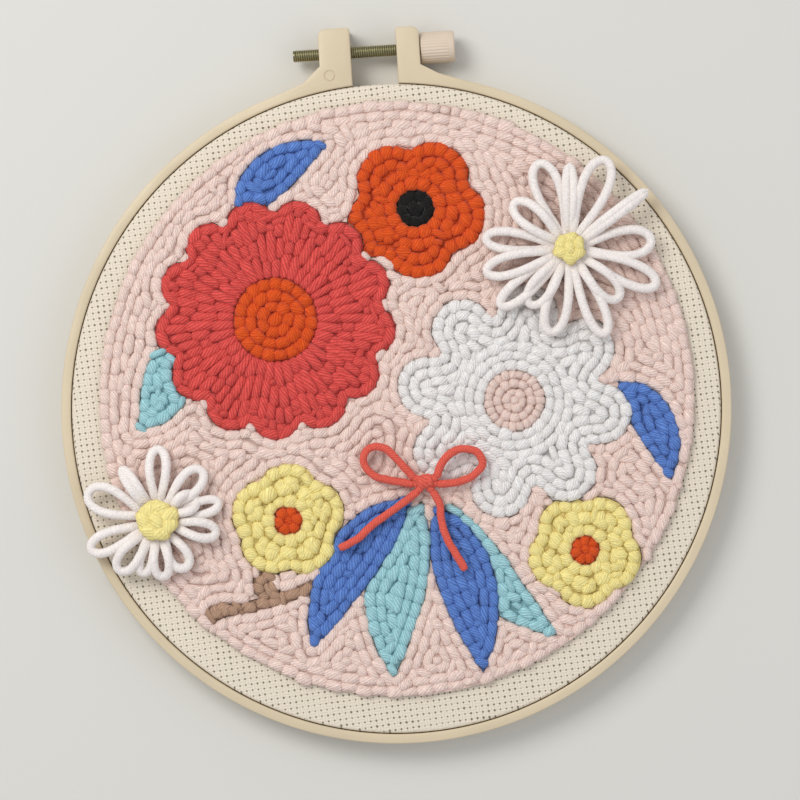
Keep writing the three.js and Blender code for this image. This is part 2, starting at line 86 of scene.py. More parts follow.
# The thread is thicker than the CAD's plain rod by this share, as on the photograph's screw
THREAD_SHARE = 1.1
THREAD_CREST = THREAD_SHARE * (SCREW_HIGH.y - SCREW_LOW.y) / 2
THREAD_DEPTH = 0.00034
THREAD_ROOT = THREAD_CREST - THREAD_DEPTH
BORE_RADIUS = 0.00215
# Places nearer to each other than this are one
NEAR = 1e-6
SPLIT_HALF = 0.0072
# Each lug: its side of the split, its width, its web's rise over the ring, and its drop below the
# CAD's lug
LUGS = (
    {"side": -1, "width": 0.0100, "web_rise": 0.0035, "drop": 0.0004},
    {"side": 1, "width": 0.0073, "web_rise": 0.0022, "drop": 0.0012},
)
LUG_CORNER = 0.0024
LUG_WEB_RUN = 0.0055
LUG_WEB_FOOT = 0.014
LUG_WEB_TIP = 0.001
EJECTOR_MARK = {"x": -0.0142, "rise": 0.0003, "radius": 0.0016, "groove": 0.00048}
PILE_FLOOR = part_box("ground")[0].z

# Each yarn: its colour, the colour of painted shade between its plies and stitches, how much that
# shows between the plies, and how much more the stitches of a heathered yarn differ

YARNS = {
    "pink": ("f7ddd1", "b58878", 0.17, 0.0),
    "coral": ("ea564f", "72060a", 0.44, 0.0),
    "white": ("f6f2ee", "9b9792", 0.11, 0.0),
    "soft_white": ("f7eee8", "b5aeaa", 0.05, 0.0),
    "orange": ("e75818", "a42000", 0.32, 0.0),
    "yellow": ("ffec9b", "d6a848", 0.15, 0.0),
    "blue": ("648cd6", "08185e", 0.42, 0.0),
    "light_blue": ("acdce2", "226068", 0.30, 0.0),
    "brown": ("c6a085", "5b4231", 0.40, 0.35),
    "black": ("14110f", "050404", 0.40, 0.0),
    "bow": ("ee6655", "96261a", 0.38, 0.0),
}

# Each patch of stitches: its node, its yarn and its usual stitch's length and width. Its rows follow
# its outline, one within the other, or else fan out from the heart that is named last.

PATCHES = [dict(zip(("node", "yarn", "length", "width", "fan"), row)) for row in (
    ("ground", "pink", 0.0053, 0.0029),
    ("dahlia_petals", "coral", 0.0066, 0.0028, "dahlia_heart"),
    ("dahlia_heart", "orange", 0.0042, 0.0034),
    ("cosmos_petals", "white", 0.0048, 0.0030),
    ("cosmos_heart", "pink", 0.0028, 0.0026),
    ("poppy_petals", "orange", 0.0044, 0.0036),
    ("poppy_heart", "black", 0.0040, 0.0028),
    ("buttercup_left", "yellow", 0.0045, 0.0035),
    ("buttercup_left_heart", "orange", 0.0036, 0.0030),
    ("buttercup_right", "yellow", 0.0045, 0.0035),
    ("buttercup_right_heart", "orange", 0.0036, 0.0030),
    ("leaf_low_left", "blue", 0.0052, 0.0029),
    ("leaf_low_middle", "light_blue", 0.0052, 0.0030),
    ("leaf_low_right", "blue", 0.0052, 0.0029),
    ("leaf_far_right", "light_blue", 0.0052, 0.0030),
    ("leaf_left", "light_blue", 0.0050, 0.0030),
    ("leaf_top_left", "blue", 0.0050, 0.0029),
    ("leaf_right", "blue", 0.0050, 0.0029),
    ("sprig", "brown", 0.0046, 0.0027),
)]

# A spot that no patch of the frame covers, between the left buttercup, the sprig and a leaf: each
# stitch there by its place about the hoop's centre, heading in degrees and length
LOOSE_SPOT = (
    (-0.0372, -0.0530, 12, 0.0050), (-0.0326, -0.0514, 22, 0.0048), (-0.0370, -0.0502, 4, 0.0046),
    (-0.0412, -0.0520, 100, 0.0044), (-0.0290, -0.0500, 40, 0.0036),
)

# The loose daisies: each loop of yarn by its direction in degrees, reach, width and rise

DAISIES = (
    {"name": "upper", "x": 0.057, "y": 0.0461, "pile": 0.0029, "heart": 0.005, "knots": 6, "loops": (
        (2, 0.0270, 0.0105, 0.0016), (33, 0.0310, 0.0034, 0.0042), (64, 0.0310, 0.0105, 0.0026),
        (86, 0.0270, 0.0044, 0.0038), (106, 0.0295, 0.0100, 0.0012), (137, 0.0235, 0.0085, 0.0028),
        (169, 0.0275, 0.0080, 0.0014), (192, 0.0280, 0.0080, 0.0028), (216, 0.0290, 0.0075, 0.0010),
        (231, 0.0225, 0.0085, 0.0034), (254, 0.0280, 0.0090, 0.0016), (289, 0.0300, 0.0080, 0.0012),
        (311, 0.0230, 0.0085, 0.0030), (334, 0.0305, 0.0090, 0.0016))},
    {"name": "lower", "x": -0.0764, "y": -0.0302, "pile": 0.0025, "heart": 0.0066, "knots": 7, "loops": (
        (12, 0.0210, 0.0065, 0.0012), (27, 0.0150, 0.0075, 0.0036), (45, 0.0220, 0.0085, 0.0014),
        (86, 0.0235, 0.0075, 0.0022), (121, 0.0205, 0.0042, 0.0038), (155, 0.0245, 0.0100, 0.0016),
        (200, 0.0240, 0.0080, 0.0014), (229, 0.0210, 0.0080, 0.0022), (251, 0.0185, 0.0060, 0.0012),
        (272, 0.0190, 0.0070, 0.0024), (297, 0.0185, 0.0080, 0.0012), (344, 0.0200, 0.0070, 0.0022))},
)
YARN_RADIUS = 0.0014
LOOP_ROOT_INSET = 0.002
LOOP_ROOT_PART = 0.00037
LOOP_STAGGER = 0.00041
LOOP_LAYERS = 3
LOOP_STEPS = 44

# The bow's cords, about the hoop's centre: their points repeat the routes in the part's source

BOW_CORDS = (
    {"name": "bow_loop_left", "far_end": "object", "points": (
        (0.0042, -0.0222, 0.0169), (0.0006, -0.0176, 0.0175), (-0.0044, -0.0123, 0.0174),
        (-0.0094, -0.0122, 0.0170), (-0.0112, -0.0162, 0.0166), (-0.0082, -0.0206, 0.0163),
        (-0.0024, -0.0226, 0.0162), (0.0042, -0.0240, 0.0162))},
    {"name": "bow_loop_right", "far_end": "object", "points": (
        (0.0111, -0.0224, 0.0169), (0.0136, -0.0174, 0.0175), (0.0183, -0.0142, 0.0175),
        (0.0238, -0.0150, 0.0170), (0.0258, -0.0190, 0.0166), (0.0222, -0.0228, 0.0163),
        (0.0166, -0.0244, 0.0162), (0.0111, -0.0244, 0.0162))},
    {"name": "bow_end_left", "far_end": "bare", "points": (
        (0.0052, -0.0263, 0.0162), (0.0010, -0.0292, 0.0162), (-0.0044, -0.0326, 0.0162),
        (-0.0098, -0.0360, 0.0162), (-0.0144, -0.0398, 0.0161), (-0.0204, -0.0426, 0.0160))},
    {"name": "bow_end_right", "far_end": "bare", "points": (
        (0.0096, -0.0265, 0.0162), (0.0116, -0.0306, 0.0162), (0.0119, -0.0360, 0.0162),
        (0.0132, -0.0414, 0.0162), (0.0156, -0.0464, 0.0161), (0.0184, -0.0518, 0.0160))},
)


def colour_setting(name, description, code):
    return FloatVectorProperty(
        name=name, description=description, subtype="COLOR", size=3, min=0, max=1,
        default=linear(code))


class HoopProperties(bpy.types.PropertyGroup):
    ring_colour: colour_setting("Ring colour", "Beige plastic of the two rings", "d3c2a3")
    knob_colour: colour_setting("Knob colour", "Slightly pinker plastic of the knob", "d8c6b0")
    screw_colour: colour_setting("Screw colour", "Dulled yellow steel of the clamp screw", "cbc394")
    ring_steps: IntProperty(
        name="Ring steps", description="Faces round each ring", default=216, min=48, max=720)
    edge: FloatProperty(
        name="Edge rounding", description="Radius on the rings' edges", default=0.0005,
        min=0.0001, max=0.001, unit="LENGTH")
    thread_pitch: FloatProperty(
        name="Thread pitch", description="Advance of the screw's thread in a turn", default=0.0007,
        min=0.0004, max=0.0012, unit="LENGTH")
    knob_ridges: IntProperty(
        name="Knob ridges", description="Fine ridges round the knob", default=30, min=12, max=60)


class ClothProperties(bpy.types.PropertyGroup):
    colour: colour_setting("Cloth colour", "Off-white cotton of the even weave", "e5d9c5")
    hole_colour: colour_setting("Hole colour", "Shade seen in the holes between threads", "7d745d")
    pitch: FloatProperty(
        name="Hole pitch", description="Distance between the holes of the weave", default=0.00185,
        min=0.001, max=0.004, unit="LENGTH")
    turn: FloatProperty(
        name="Weave turn", description="How far the threads are turned in the hoop",
        default=math.radians(4.4), subtype="ANGLE")


class YarnProperties(bpy.types.PropertyGroup):
    plumpness: FloatProperty(
        name="Plumpness", description="Width of a stitch as a share of its row", default=1.22,
        min=0.8, max=1.4)
    overlap: FloatProperty(
        name="Overlap", description="Length of a stitch as a share of its step", default=1.2,
        min=0.8, max=1.4)
    unevenness: FloatProperty(
        name="Unevenness", description="How much stitches differ in width and height", default=0.09,
        min=0, max=0.3)
    lay: FloatProperty(
        name="Lay", description="Length of loose yarn in which its plies make a turn", default=0.014,
        min=0.004, max=0.04, unit="LENGTH")
    groove: FloatProperty(
        name="Ply groove", description="Depth of the grooves between plies, a share of the radius",
        default=0.08, min=0, max=0.3)


class StudioProperties(bpy.types.PropertyGroup):
    distance: FloatProperty(
        name="Camera distance", description="From the lens to the picture's face", default=1.1,
        min=0.2, max=3, unit="LENGTH")
    lean_down: FloatProperty(
        name="Lean down", description="Angle of the view towards the foot of the picture",
        default=math.radians(0.8), subtype="ANGLE")
    lean_right: FloatProperty(
        name="Lean right", description="Angle of the view towards the right of the picture",
        default=math.radians(0.4), subtype="ANGLE")
    roll: FloatProperty(
        name="Roll", description="How far the hoop is turned in the view", default=math.radians(3.65),
        subtype="ANGLE")
    view_width: FloatProperty(
        name="View width", description="Width of what the view takes in at the hoop's face",
        default=0.2505, min=0.1, max=1, unit="LENGTH")
    key_power: FloatProperty(
        name="Key light", description="Power of the large light at the upper left", default=8.4,
        min=0, unit="POWER")
    fill_power: FloatProperty(
        name="Fill light", description="Power of the light at the right", default=1.8, min=0,
        unit="POWER")
    floor_colour: colour_setting("Floor colour", "Plain pale floor", "d5d3cc")


# Working on meshes

def deselect():
    bpy.ops.object.select_all(action="DESELECT")


def pick(obj):
    """Makes an object the only one selected, and the active one."""
    deselect()
    obj.select_set(True)
    bpy.context.view_layer.objects.active = obj


def work_on(obj):
    """Picks an object and opens its mesh."""
    pick(obj)
    bpy.ops.object.mode_set(mode="EDIT")


def close_mesh():
    bpy.ops.object.mode_set(mode="OBJECT")


def choose_all():
    bpy.ops.mesh.select_all(action="SELECT")


def close_facing_out():
    """Turns the chosen faces outwards and closes the open mesh."""
    bpy.ops.mesh.normals_make_consistent(inside=False)
    close_mesh()


def settled():
    """The newest object, with its place and turn put into its mesh."""
    bpy.ops.object.transform_apply(location=True, rotation=True, scale=True)
    return bpy.context.object


def in_scene(name, data):
    """A new object of the scene, from its name and data."""
    obj = bpy.data.objects.new(name, data)
    bpy.context.scene.collection.objects.link(obj)
    return obj


def loop_edges(count):
    return [(i, (i + 1) % count) for i in range(count)]


def choose(test):
    """Selects the vertices of the open mesh whose places pass a test."""
    mesh = bmesh.from_edit_mesh(bpy.context.object.data)
    bpy.ops.mesh.select_mode(type="VERT")
    for vertex in mesh.verts:
        vertex.select_set(bool(test(vertex.co)))
    mesh.select_flush(True)
    bmesh.update_edit_mesh(bpy.context.object.data)


def mesh_object(name, vertices, faces=(), edges=()):
    mesh = bpy.data.meshes.new(name)
    mesh.from_pydata([tuple(v) for v in vertices], list(edges), [tuple(f) for f in faces])
    return in_scene(name, mesh)


def copy_of(node, name):
    """A merged copy of a CAD node's mesh, to be worked on."""
    obj = in_scene(name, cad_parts[node].data.copy())
    obj.data.materials.clear()
    work_on(obj)
    choose_all()
    bpy.ops.mesh.remove_doubles(threshold=NEAR)
    close_mesh()
    return obj


def joined(name, objects):
    deselect()
    for obj in objects:
        obj.select_set(True)
    bpy.context.view_layer.objects.active = objects[0]
    if len(objects) > 1:
        bpy.ops.object.join()
    objects[0].name = name
    return objects[0]


def shade_smooth(obj, degrees=40):
    pick(obj)
    bpy.ops.object.shade_smooth_by_angle(angle=math.radians(degrees))


def applied(obj, kind, **settings):
    """Adds a modifier, with its settings, and applies it."""
    pick(obj)
    modifier = obj.modifiers.new(kind.title(), kind)
    for key, value in settings.items():
        setattr(modifier, key, value)
    bpy.ops.object.modifier_apply(modifier=modifier.name)


def cut_away(obj):
    """Cuts the newest object out of another one and removes it."""
    tool = bpy.context.object
    applied(obj, "BOOLEAN", operation="DIFFERENCE", object=tool, solver="EXACT")
    bpy.data.objects.remove(tool)


def spun(name, profile, steps, centre):
    """A round piece, from a closed profile of radii and heights spun about the centre."""
    points = [(centre.x + radius, centre.y, height) for radius, height in profile]
    obj = mesh_object(name, points, edges=loop_edges(len(points)))
    work_on(obj)
    choose_all()
    bpy.ops.mesh.spin(steps=steps, angle=2 * math.pi, center=(centre.x, centre.y, 0), axis=(0, 0, 1))
    choose_all()
    bpy.ops.mesh.remove_doubles(threshold=NEAR)
    close_facing_out()
    return obj


def rounded(corner, edge, start, steps=3):
    """Points of a rounded corner of a profile: corner is its round's middle, start its first angle."""
    angles = np.linspace(start, start + math.pi / 2, steps + 1)
    return [(corner[0] + edge * math.cos(a), corner[1] + edge * math.sin(a)) for a in angles]


def dressed(obj, name, body, nodes, materials=()):
    """Names a finished piece, gives it its materials and ties it to the frame."""
    obj.name = name
    obj.data.name = name
    if not obj.data.materials:
        for material in materials:
            obj.data.materials.append(material)
    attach(obj, body)
    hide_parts(*nodes)
    return obj


# Nodes of materials

class Finish:
    """One material that is being made, with short calls for its nodes."""

    def __init__(self, name, surface):
        self.material = bpy.data.materials.new(name)
        self.material.use_nodes = True
        self.nodes = self.material.node_tree.nodes
        self.links = self.material.node_tree.links
        self.surface = self.nodes["Principled BSDF"]
        for socket, value in surface.items():
            self.surface.inputs[socket].default_value = value

    def put(self, socket, value):
        if isinstance(value, bpy.types.NodeSocket):
            self.links.new(value, socket)
        else:
            socket.default_value = value

    def node(self, kind, inputs=None, **settings):
        node = self.nodes.new(kind)
        for key, value in settings.items():
            setattr(node, key, value)
        for key, value in (inputs or {}).items():
            self.put(node.inputs[key], value)
        return node

    def math(self, operation, first, second=0.0):
        return self.node("ShaderNodeMath", {0: first, 1: second}, operation=operation).outputs[0]

    def plus(self, first, second):
        return self.math("ADD", first, second)

    def less(self, first, second):
        return self.math("SUBTRACT", first, second)

    def times(self, first, second):
        return self.math("MULTIPLY", first, second)

    def place(self):
        return self.node("ShaderNodeTexCoord").outputs["Object"]

    def parts(self, vector):
        return self.node("ShaderNodeSeparateXYZ", {0: vector}).outputs

    def vector(self, x, y, z):
        return self.node("ShaderNodeCombineXYZ", {0: x, 1: y, 2: z}).outputs[0]

    def noise(self, vector, scale, detail=3.0):
        return self.node("ShaderNodeTexNoise", {
            "Vector": vector, "Scale": scale, "Detail": detail, "Roughness": 0.55,
        }).outputs["Fac"]

    def spread(self, value, low, high, to_low=0.0, to_high=1.0):
        return self.node("ShaderNodeMapRange", {
            0: value, 1: low, 2: high, 3: to_low, 4: to_high,
        }).outputs[0]

    def mix(self, share, first, second):
        node = self.node("ShaderNodeMix", data_type="RGBA")
        self.put(node.inputs[0], share)
        for socket, value in ((node.inputs[6], first), (node.inputs[7], second)):
            if not isinstance(value, bpy.types.NodeSocket):
                value = (*value, 1.0) if len(value) == 3 else value
            self.put(socket, value)
        return node.outputs[2]

    def bump(self, height, distance, strength):
        return self.node("ShaderNodeBump", {
            "Height": height, "Distance": distance, "Strength": strength,
        }).outputs[0]

    def finish(self, **links):
        for socket, value in links.items():
            self.links.new(value, self.surface.inputs[socket.replace("_", " ")])
        return self.material


def darker(colour, share):
    return [c * share for c in colour]


# The marks of each noise in a metre, and the middle range that most of a noise lies in
PLASTIC_MARKS = {"cloud": 28.0, "speck": 900.0, "gloss": 120.0, "texture": 1600.0}
STEEL_MARKS = 700.0
WEAVE_MARKS = {"wander": 60.0, "uneven": 420.0, "fibre": 2600.0, "cloud": 45.0}
MIDDLE = (0.3, 0.7)
# How far the threads of the weave wander, and how deep the weave is
THREAD_WANDER = 0.0007
WEAVE_RELIEF = 0.00022
# Where one thread passes over the other, how uneven the holes are and where their edges lie, how high
# the ribs, the crowns between the holes and the fibres stand, and how dark the painted shade on the
# ribs' sides is
WEAVE = {"over": 0.12, "uneven": 0.18, "hole": (0.38, 0.62), "rib": 0.45, "crown": 0.35,
         "fibre": 0.16, "side": 0.76}
# The marks of the yarn's noises, in a metre along it and in a turn round it
STRAND_WANDER_MARKS = (420.0, 9.0)
FLUFF_MARKS = (1900.0, 3.6)
STRAND_WANDER = 1.3
YARN_RELIEF = 0.00035
# How high strands and fluff stand, how dark the fluff is, how much any yarn's stitches differ, and
# how much painted shade lies low between the stitches and at their tips
SPUN = {"strand": 0.6, "fluff": 0.5, "fluff_shade": 0.81, "differ": 0.12, "painted_low_shade": 0.62}


def plastic(name, colour):
    """Moulded plastic: cloudy beige, a fine texture and soft uneven gloss."""
    made = Finish(name, {"Roughness": 0.4, "IOR": 1.49})
    place = made.place()
    cloud = made.noise(place, PLASTIC_MARKS["cloud"])
    speck = made.noise(place, PLASTIC_MARKS["speck"], 2.0)
    tone = made.mix(made.spread(cloud, *MIDDLE), darker(colour, 0.93), darker(colour, 1.04))
    tone = made.mix(made.spread(speck, 0.35, 0.75, 0.0, 0.12), tone, darker(colour, 0.8))
    gloss = made.spread(made.noise(place, PLASTIC_MARKS["gloss"]), *MIDDLE, 0.36, 0.5)
    texture = made.noise(place, PLASTIC_MARKS["texture"], 2.0)
    return made.finish(Base_Color=tone, Roughness=gloss, Normal=made.bump(texture, 0.00004, 0.35))


def thread_shaded_steel(name, colour):
    """Plated steel of the screw, with shade painted into the roots of its thread, and random stains."""
    made = Finish(name, {"Metallic": 1.0, "Roughness": 0.35})
    place = made.place()
    _, y, z = made.parts(place)
    up = made.less(y, SCREW_AXIS.y)
    out = made.less(z, SCREW_AXIS.z)
    radius = made.math("SQRT", made.plus(made.math("POWER", up, 2.0), made.math("POWER", out, 2.0)))
    crest = made.spread(radius, THREAD_ROOT, THREAD_CREST)
    stain = made.noise(place, STEEL_MARKS)
    # Painted shade: the thread's roots are darkened and its crests keep the steel's colour
    tone = made.mix(crest, darker(colour, 0.26), darker(colour, 1.05))
    tone = made.mix(made.spread(stain, 0.4, 0.7, 0.0, 0.4), tone, darker(colour, 0.55))
    return made.finish(Base_Color=tone, Roughness=made.spread(stain, *MIDDLE, 0.28, 0.5))


def even_weave(name, cloth):
    """Even-weave cotton: pairs of threads cross over and under, with a hole at each corner."""
    made = Finish(name, {"Roughness": 0.92, "Sheen Weight": 0.15, "Sheen Roughness": 0.6})
    place = made.place()
    turned = made.node("ShaderNodeMapping", {
        "Vector": place, "Rotation": (0.0, 0.0, -cloth.turn),
    }).outputs[0]
    wander = made.times(made.less(made.noise(turned, WEAVE_MARKS["wander"]), 0.5), THREAD_WANDER)
    x, y, z = made.parts(turned)
    # The height carries the pattern on, down the skirt that shows between the lugs
    ways = made.plus(x, wander), made.less(made.less(y, z), wander)
    turns = [made.times(way, math.pi / cloth.pitch) for way in ways]
    swings = [made.math("SINE", turn) for turn in turns]
    over = made.spread(made.times(*swings), -WEAVE["over"], WEAVE["over"])
    rib_x, rib_y = (made.math("ABSOLUTE", made.math("SINE", made.times(turn, 2.0))) for turn in turns)
    ribs = made.node("ShaderNodeMix", {0: over, 2: rib_x, 3: rib_y}).outputs[0]
    near = [made.less(1.0, made.math("ABSOLUTE", swing)) for swing in swings]
    uneven = made.noise(turned, WEAVE_MARKS["uneven"], 2.0)
    uneven = made.spread(uneven, *MIDDLE, -WEAVE["uneven"], WEAVE["uneven"])
    hole = made.spread(made.plus(made.times(*near), uneven), *WEAVE["hole"])
    crown = made.less(1.0, made.math("MAXIMUM", *near))
    fibre = made.noise(turned, WEAVE_MARKS["fibre"], 2.0)
    height = made.plus(made.times(ribs, WEAVE["rib"]), made.times(crown, WEAVE["crown"]))
    height = made.less(made.plus(height, made.times(fibre, WEAVE["fibre"])), hole)
    colour = list(cloth.colour)
    cloud = made.spread(made.noise(turned, WEAVE_MARKS["cloud"]), 0.35, 0.7, 0.0, 0.3)
    # Painted shade on the sides of the threads' ribs, darkest where a rib is lowest
    tone = made.mix(made.spread(ribs, 0.0, 0.5), darker(colour, WEAVE["side"]), colour)
    tone = made.mix(cloud, tone, darker(colour, 0.93))
    tone = made.mix(hole, tone, list(cloth.hole_colour))
    return made.finish(Base_Color=tone, Normal=made.bump(height, WEAVE_RELIEF, 0.7))


def spun_yarn(name, colour, shade, strands, twist, ply_shade_strength, heather, relief):
    """Twisted yarn, on the piece's own map: strands wind round it, one in every 1/twist of a metre."""
    made = Finish(name, {"Roughness": 0.95, "Specular IOR Level": 0.25, "Sheen Weight": 0.12,
                         "Sheen Roughness": 0.4})
    along, around, _ = made.parts(made.node("ShaderNodeUVMap", uv_map="yarn").outputs[0])
    tone_mark, shade_depth_mark = (made.node("ShaderNodeAttribute", attribute_name=key).outputs["Fac"]
                             for key in ("tone", "depth"))

    def noise_along(side, marks):
        place = made.vector(made.times(along, marks[0]), made.times(side, marks[1]), tone_mark)
        return made.noise(place, 1.0, 2.0)

    turns = made.plus(made.times(around, strands), made.times(along, twist))
    turns = made.plus(turns, made.times(noise_along(around, STRAND_WANDER_MARKS), STRAND_WANDER))
    strand = made.spread(made.math("COSINE", made.times(turns, 2 * math.pi)), -1.0, 0.35)
    fluff = noise_along(turns, FLUFF_MARKS)
    height = made.plus(made.times(strand, SPUN["strand"]), made.times(fluff, SPUN["fluff"]))
    light = [min(1.0, c * 1.05 + 0.01) for c in colour]
    body = made.mix(made.spread(fluff, 0.34, 0.66), darker(colour, SPUN["fluff_shade"]), light)
    # Painted shade in the grooves between the plies, in the yarn's shade colour
    ply_shaded = made.mix(made.spread(strand, 0.0, 0.9, ply_shade_strength, 0.0), body, shade)
    worn = made.spread(tone_mark, -1.0, 1.0, SPUN["differ"] + heather, 0.0)
    worn = made.mix(worn, ply_shaded, darker(colour, 0.7))
    # Painted shade low between the stitches and at their tips, where the depth mark is low
    low = made.spread(shade_depth_mark, 0.0, 0.5, SPUN["painted_low_shade"], 0.0)
    deep = made.mix(low, worn, darker(shade, 0.8))
    return made.finish(Base_Color=deep, Normal=made.bump(height, YARN_RELIEF, relief))


# How each use of the yarn shows its strands: how many wind round it, their turns in a metre and
# their relief
YARN_USES = {
    "punched": {"strands": 9.0, "twist": 0.0, "relief": 0.8},
    "cord": {"strands": 6.0, "twist": 1500.0, "relief": 0.6},
    "loop": {"strands": 6.0, "twist": 1300.0, "relief": 0.35},
}


def yarn(colour_name, use="punched"):
    """The material of one yarn in one use, made once."""
    name = f"yarn_{colour_name}_{use}"
    colour, shade, ply_shade_share, heather = YARNS[colour_name]
    return bpy.data.materials.get(name) or spun_yarn(
        name, linear(colour), linear(shade), ply_shade_strength=ply_shade_share, heather=heather, **YARN_USES[use])


# Yarn as a mesh

STITCH_SIDES = 9
STITCH_PLIES = 3
STITCH_GROOVE = 0.93
STITCH_TWIST = math.radians(190)
# The heights between which a stitch's sides go from painted shade to its own colour, as shares
STITCH_SHADE = (0.30, 0.72)
# The yarn's map starts anywhere up to here, in metres, so that no two stitches are alike
LONGEST_SLIDE = 0.05
# Each station of a stitch: its place along, its girth and its middle's height, as shares
STITCH_STATIONS = (
    (-0.50, 0.30, 0.18), (-0.45, 0.64, 0.34), (-0.33, 0.90, 0.45), (-0.12, 1.0, 0.50),
    (0.12, 1.0, 0.50), (0.33, 0.90, 0.45), (0.45, 0.64, 0.34), (0.50, 0.30, 0.18),
)


def stitch_master():
    """One stitch of twisted yarn, a unit long, wide and high: a ring of plies, drawn out and twisted."""
    along, girth, lift = STITCH_STATIONS[0]
    deselect()
    bpy.ops.mesh.primitive_circle_add(
        vertices=STITCH_SIDES, radius=girth / 2, fill_type="NGON", location=(along, 0, lift),
        rotation=(0, math.pi / 2, 0))
    obj = settled()
    bpy.ops.object.mode_set(mode="EDIT")
    between = STITCH_SIDES // STITCH_PLIES
    ring = bmesh.from_edit_mesh(obj.data)
    ring.verts.ensure_lookup_table()
    centre = Vector((along, 0, lift))
    grooves = [v.co.copy() for i, v in enumerate(ring.verts) if i % between == 0]
    choose(lambda place: min((place - g).length for g in grooves) < NEAR)
    bpy.ops.transform.resize(value=(1, STITCH_GROOVE, STITCH_GROOVE), center_override=centre)
    choose_all()
    for (x0, girth0, lift0), (x1, girth1, lift1) in zip(STITCH_STATIONS, STITCH_STATIONS[1:]):
        bpy.ops.mesh.extrude_region_move(
            TRANSFORM_OT_translate={"value": (x1 - x0, 0, lift1 - lift0)})
        centre = Vector((x1, 0, lift1))
        bpy.ops.transform.resize(value=(1, girth1 / girth0, girth1 / girth0), center_override=centre)
        bpy.ops.transform.rotate(value=STITCH_TWIST * (x1 - x0), orient_axis="X", center_override=centre)
    choose_all()
    close_facing_out()
    mesh = obj.data
    places = np.array([v.co for v in mesh.vertices])
    faces = [tuple(p.vertices) for p in mesh.polygons]
    bpy.data.objects.remove(obj)
    return places, faces


class Yarn:
    """A growing mesh of yarn, with its map, tone and depth, the mark of where shade is painted."""

    def __init__(self):
        self.places = []
        self.faces = []
        self.map = []
        self.tone = []
        self.depth = []
        self.material = []
        self.count = 0

    def add(self, places, faces, corner_map, tone, depth, material=0):
        self.places.append(places)
        self.faces.extend([[i + self.count for i in face] for face in faces])
        self.map.append(corner_map)
        self.tone.append(tone)
        self.depth.append(depth)
        self.material.extend([material] * len(faces))
        self.count += len(places)

    def made(self, name, materials):
        """The object, with smooth faces."""
        obj = mesh_object(name, np.concatenate(self.places), self.faces)
        mesh = obj.data
        layer = mesh.uv_layers.new(name="yarn")
        layer.data.foreach_set("uv", np.concatenate(self.map).astype(np.float32).ravel())
        for key, values in (("tone", self.tone), ("depth", self.depth)):
            mark = mesh.attributes.new(key, "FLOAT", "POINT")
            mark.data.foreach_set("value", np.concatenate(values).astype(np.float32))
        mesh.polygons.foreach_set("use_smooth", [True] * len(mesh.polygons))
        mesh.polygons.foreach_set("material_index", self.material)
        for material in materials:
            mesh.materials.append(material)
        return obj

    def piece(self, node, slot, materials, ending="yarn"):
        """The finished piece that stands for a node of the frame."""
        return dressed(self.made(node, materials), f"{node}_{ending}", "hoop", [node])


class StitchMould:
    """The master stitch, ready to be laid many times."""

    def __init__(self):
        self.places, self.faces = stitch_master()
        stations = np.array([row[0] for row in STITCH_STATIONS])
        self.station = np.abs(self.places[:, :1] - stations[None, :]).argmin(1)
        around = self.shares_round()
        corners = []
        for face in self.faces:
            rounds = np.array([around[i] for i in face])
            if len(face) == 4 and rounds.max() - rounds.min() > 0.5:
                rounds = np.where(rounds < 0.5, rounds + 1.0, rounds)
            corners.extend(zip([self.places[i][0] for i in face], rounds))
        self.corners = np.array(corners)
        # The depth mark: shade is painted where it is low, on a stitch's lower sides and at its tips
        ends = 1 - (2 * np.abs(self.places[:, 0])) ** 4
        self.depth = np.interp(self.places[:, 2], STITCH_SHADE, (0, 1)) * np.clip(ends, 0, 1)

    def shares_round(self):
        """Each corner's share of the way round the yarn, handed on from ring to ring along the plies."""
        first = [i for i in range(len(self.places)) if self.station[i] == 0]
        middle = self.places[first].mean(0)
        first.sort(key=lambda i: math.atan2(self.places[i][2] - middle[2], self.places[i][1]))
        around = {corner: k / STITCH_SIDES for k, corner in enumerate(first)}
        links = {}
        for face in self.faces:
            for a, b in zip(face, [*face[1:], face[0]]):
                if self.station[b] != self.station[a]:
                    low, high = sorted((a, b), key=lambda i: self.station[i])
                    links[low] = high
        for low in sorted(links, key=lambda i: self.station[i]):
            around[links[low]] = around[low]
        return around

    def lay(self, into, x, y, floor, heading, length, width, height, rng, material=0):
        """Lays one stitch from its middle, its direction and sizes."""
        tone, slide = rng.uniform(-1, 1), rng.uniform(0, LONGEST_SLIDE)
        c, s = math.cos(heading), math.sin(heading)
        along = self.places[:, 0] * length
        aside = self.places[:, 1] * width
        places = np.stack([
            x + along * c - aside * s, y + along * s + aside * c, floor + self.places[:, 2] * height,
        ], 1)
        corner_map = self.corners * [length, 1.0] + [slide, 0.0]
        into.add(places, self.faces, corner_map, np.full(len(places), tone), self.depth, material)


def smooth_route(points, step, fineness=16):
    """Points on a smooth curve through the given ones, a step apart."""
    known = np.array(points, float)
    ends = np.vstack([2 * known[0] - known[1], known, 2 * known[-1] - known[-2]])
    fine = []
    for i in range(1, len(ends) - 2):
        p0, p1, p2, p3 = ends[i - 1:i + 3]
        for t in np.linspace(0, 1, fineness, endpoint=False):
            fine.append(0.5 * ((2 * p1) + (p2 - p0) * t + (2 * p0 - 5 * p1 + 4 * p2 - p3) * t ** 2
                               + (3 * p1 - p0 - 3 * p2 + p3) * t ** 3))
    fine.append(known[-1])
    return evenly(np.array(fine), step)


def way_along(line):
    """How far each of a line's points lies along it."""
    return np.concatenate([[0], np.cumsum(np.linalg.norm(np.diff(line, axis=0), axis=1))])


def evenly(line, step):
    """A line's points again, about a step apart along it."""
    travelled = way_along(line)
    count = max(2, round(travelled[-1] / step) + 1)
    wanted = np.linspace(0, travelled[-1], count)
    return np.stack([np.interp(wanted, travelled, line[:, k]) for k in range(line.shape[1])], 1)


